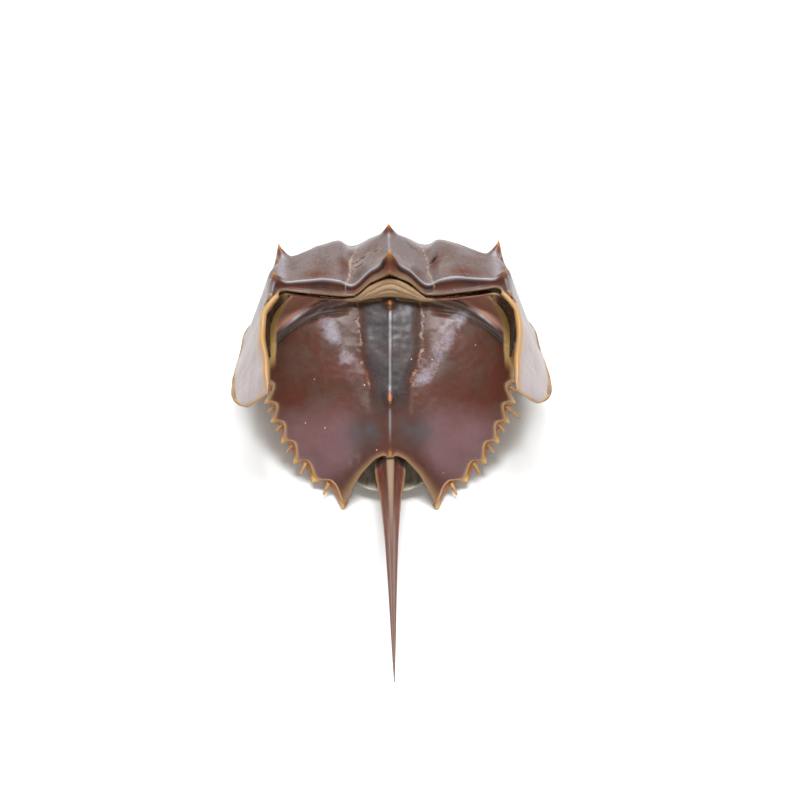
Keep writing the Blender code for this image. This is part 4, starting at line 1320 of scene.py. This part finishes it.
class SHELL_OT_gills(bpy.types.Operator):
    """Models the leaves under the tail plate"""
    bl_idname = "shell.gills"
    bl_label = "Leaves below"

    def execute(self, context):
        finish = gill_finish(context)
        for leaf in range(GILL_COUNT):
            name = "genital_operculum" if leaf == 0 else f"gill_plate_{leaf}"
            thing = sheet_piece(f"{name}_leaf", *build_leaf(leaf))
            thicken(thing, GILL_WALL)
            settle(thing, finish, "gill_leaf", name)
        return {"FINISHED"}


def lay_floor(scene):
    """Large pale floor with a dull finish."""
    mesh = bmesh.new()
    bmesh.ops.create_grid(mesh, x_segments=2, y_segments=2, size=scene.shell_sizes.floor / 2)
    data = bpy.data.meshes.new("floor")
    mesh.to_mesh(data)
    mesh.free()
    floor = bpy.data.objects.new("floor", data)
    scene.collection.objects.link(floor)
    paint = Paint("pale floor")
    fixed = {"Base Color": FLOOR_TONE, "Roughness": 0.9, "Specular IOR Level": 0.1}
    for name, value in fixed.items():
        paint.shader.inputs[name].default_value = value
    floor.data.materials.append(paint.material)


def light_world(scene):
    """Warm sky all round."""
    world = bpy.data.worlds.new("soft white")
    world.use_nodes = True
    sky = world.node_tree.nodes["Background"].inputs
    sky["Color"].default_value = SKY_TONE
    sky["Strength"].default_value = SKY_STRENGTH
    scene.world = world


def soft_light(scene, name, place, size, power, tone):
    """Area light that looks at the shell, with its width and depth."""
    data = bpy.data.lights.new(name, "AREA")
    data.shape = "RECTANGLE"
    data.size, data.size_y = size
    data.energy = power
    data.color = tone
    lamp = bpy.data.objects.new(name, data)
    scene.collection.objects.link(lamp)
    lamp.location = place
    lamp.rotation_euler = (Vector(LIGHT_AIM) - Vector(place)).to_track_quat("-Z", "Y").to_euler()


def place_camera(scene):
    """Camera above and behind the shell."""
    camera = bpy.data.objects.new("camera", bpy.data.cameras.new("camera"))
    scene.collection.objects.link(camera)
    camera.data.lens = scene.shell_sizes.lens
    camera.data.sensor_width = 36
    camera.data.clip_start = 0.01
    camera.data.shift_x = CAMERA_SHIFT
    camera.location = CAMERA_PLACE
    camera.rotation_euler = (CAMERA_TILT, 0, 0)
    scene.camera = camera


class SHELL_OT_stage(bpy.types.Operator):
    """Sets up the floor, the light and the camera"""
    bl_idname = "shell.stage"
    bl_label = "Stage"

    def execute(self, context):
        scene = context.scene
        lay_floor(scene)
        light_world(scene)
        for values in LIGHTS:
            soft_light(scene, *values)
        place_camera(scene)
        scene.view_settings.view_transform = "Standard"
        return {"FINISHED"}


class SHELL_PT_panel(bpy.types.Panel):
    """Sizes, colours and steps of the shell"""
    bl_idname = "SHELL_PT_panel"
    bl_label = "Horseshoe crab shell"
    bl_space_type = "VIEW_3D"
    bl_region_type = "UI"
    bl_category = "Shell"

    def draw(self, context):
        for step in STEPS:
            self.layout.operator(step.bl_idname)
        for group in (context.scene.shell_sizes, context.scene.shell_colours):
            for name in group.bl_rna.properties.keys():
                if name not in ("rna_type", "name"):
                    self.layout.prop(group, name)


STEPS = (SHELL_OT_head, SHELL_OT_plate, SHELL_OT_skin, SHELL_OT_telson,
         SHELL_OT_movable_spines, SHELL_OT_gills, SHELL_OT_stage)
CLASSES = (ShellSizes, ShellColours, *STEPS, SHELL_PT_panel)


def register():
    for kind in CLASSES:
        bpy.utils.register_class(kind)
    bpy.types.Scene.shell_sizes = PointerProperty(type=ShellSizes)
    bpy.types.Scene.shell_colours = PointerProperty(type=ShellColours)


def unregister():
    del bpy.types.Scene.shell_colours
    del bpy.types.Scene.shell_sizes
    for kind in reversed(CLASSES):
        bpy.utils.unregister_class(kind)


def main():
    """Makes every piece in order."""
    register()
    for step in STEPS:
        group, name = step.bl_idname.split(".")
        getattr(getattr(bpy.ops, group), name)()


if __name__ == "__main__":
    main()
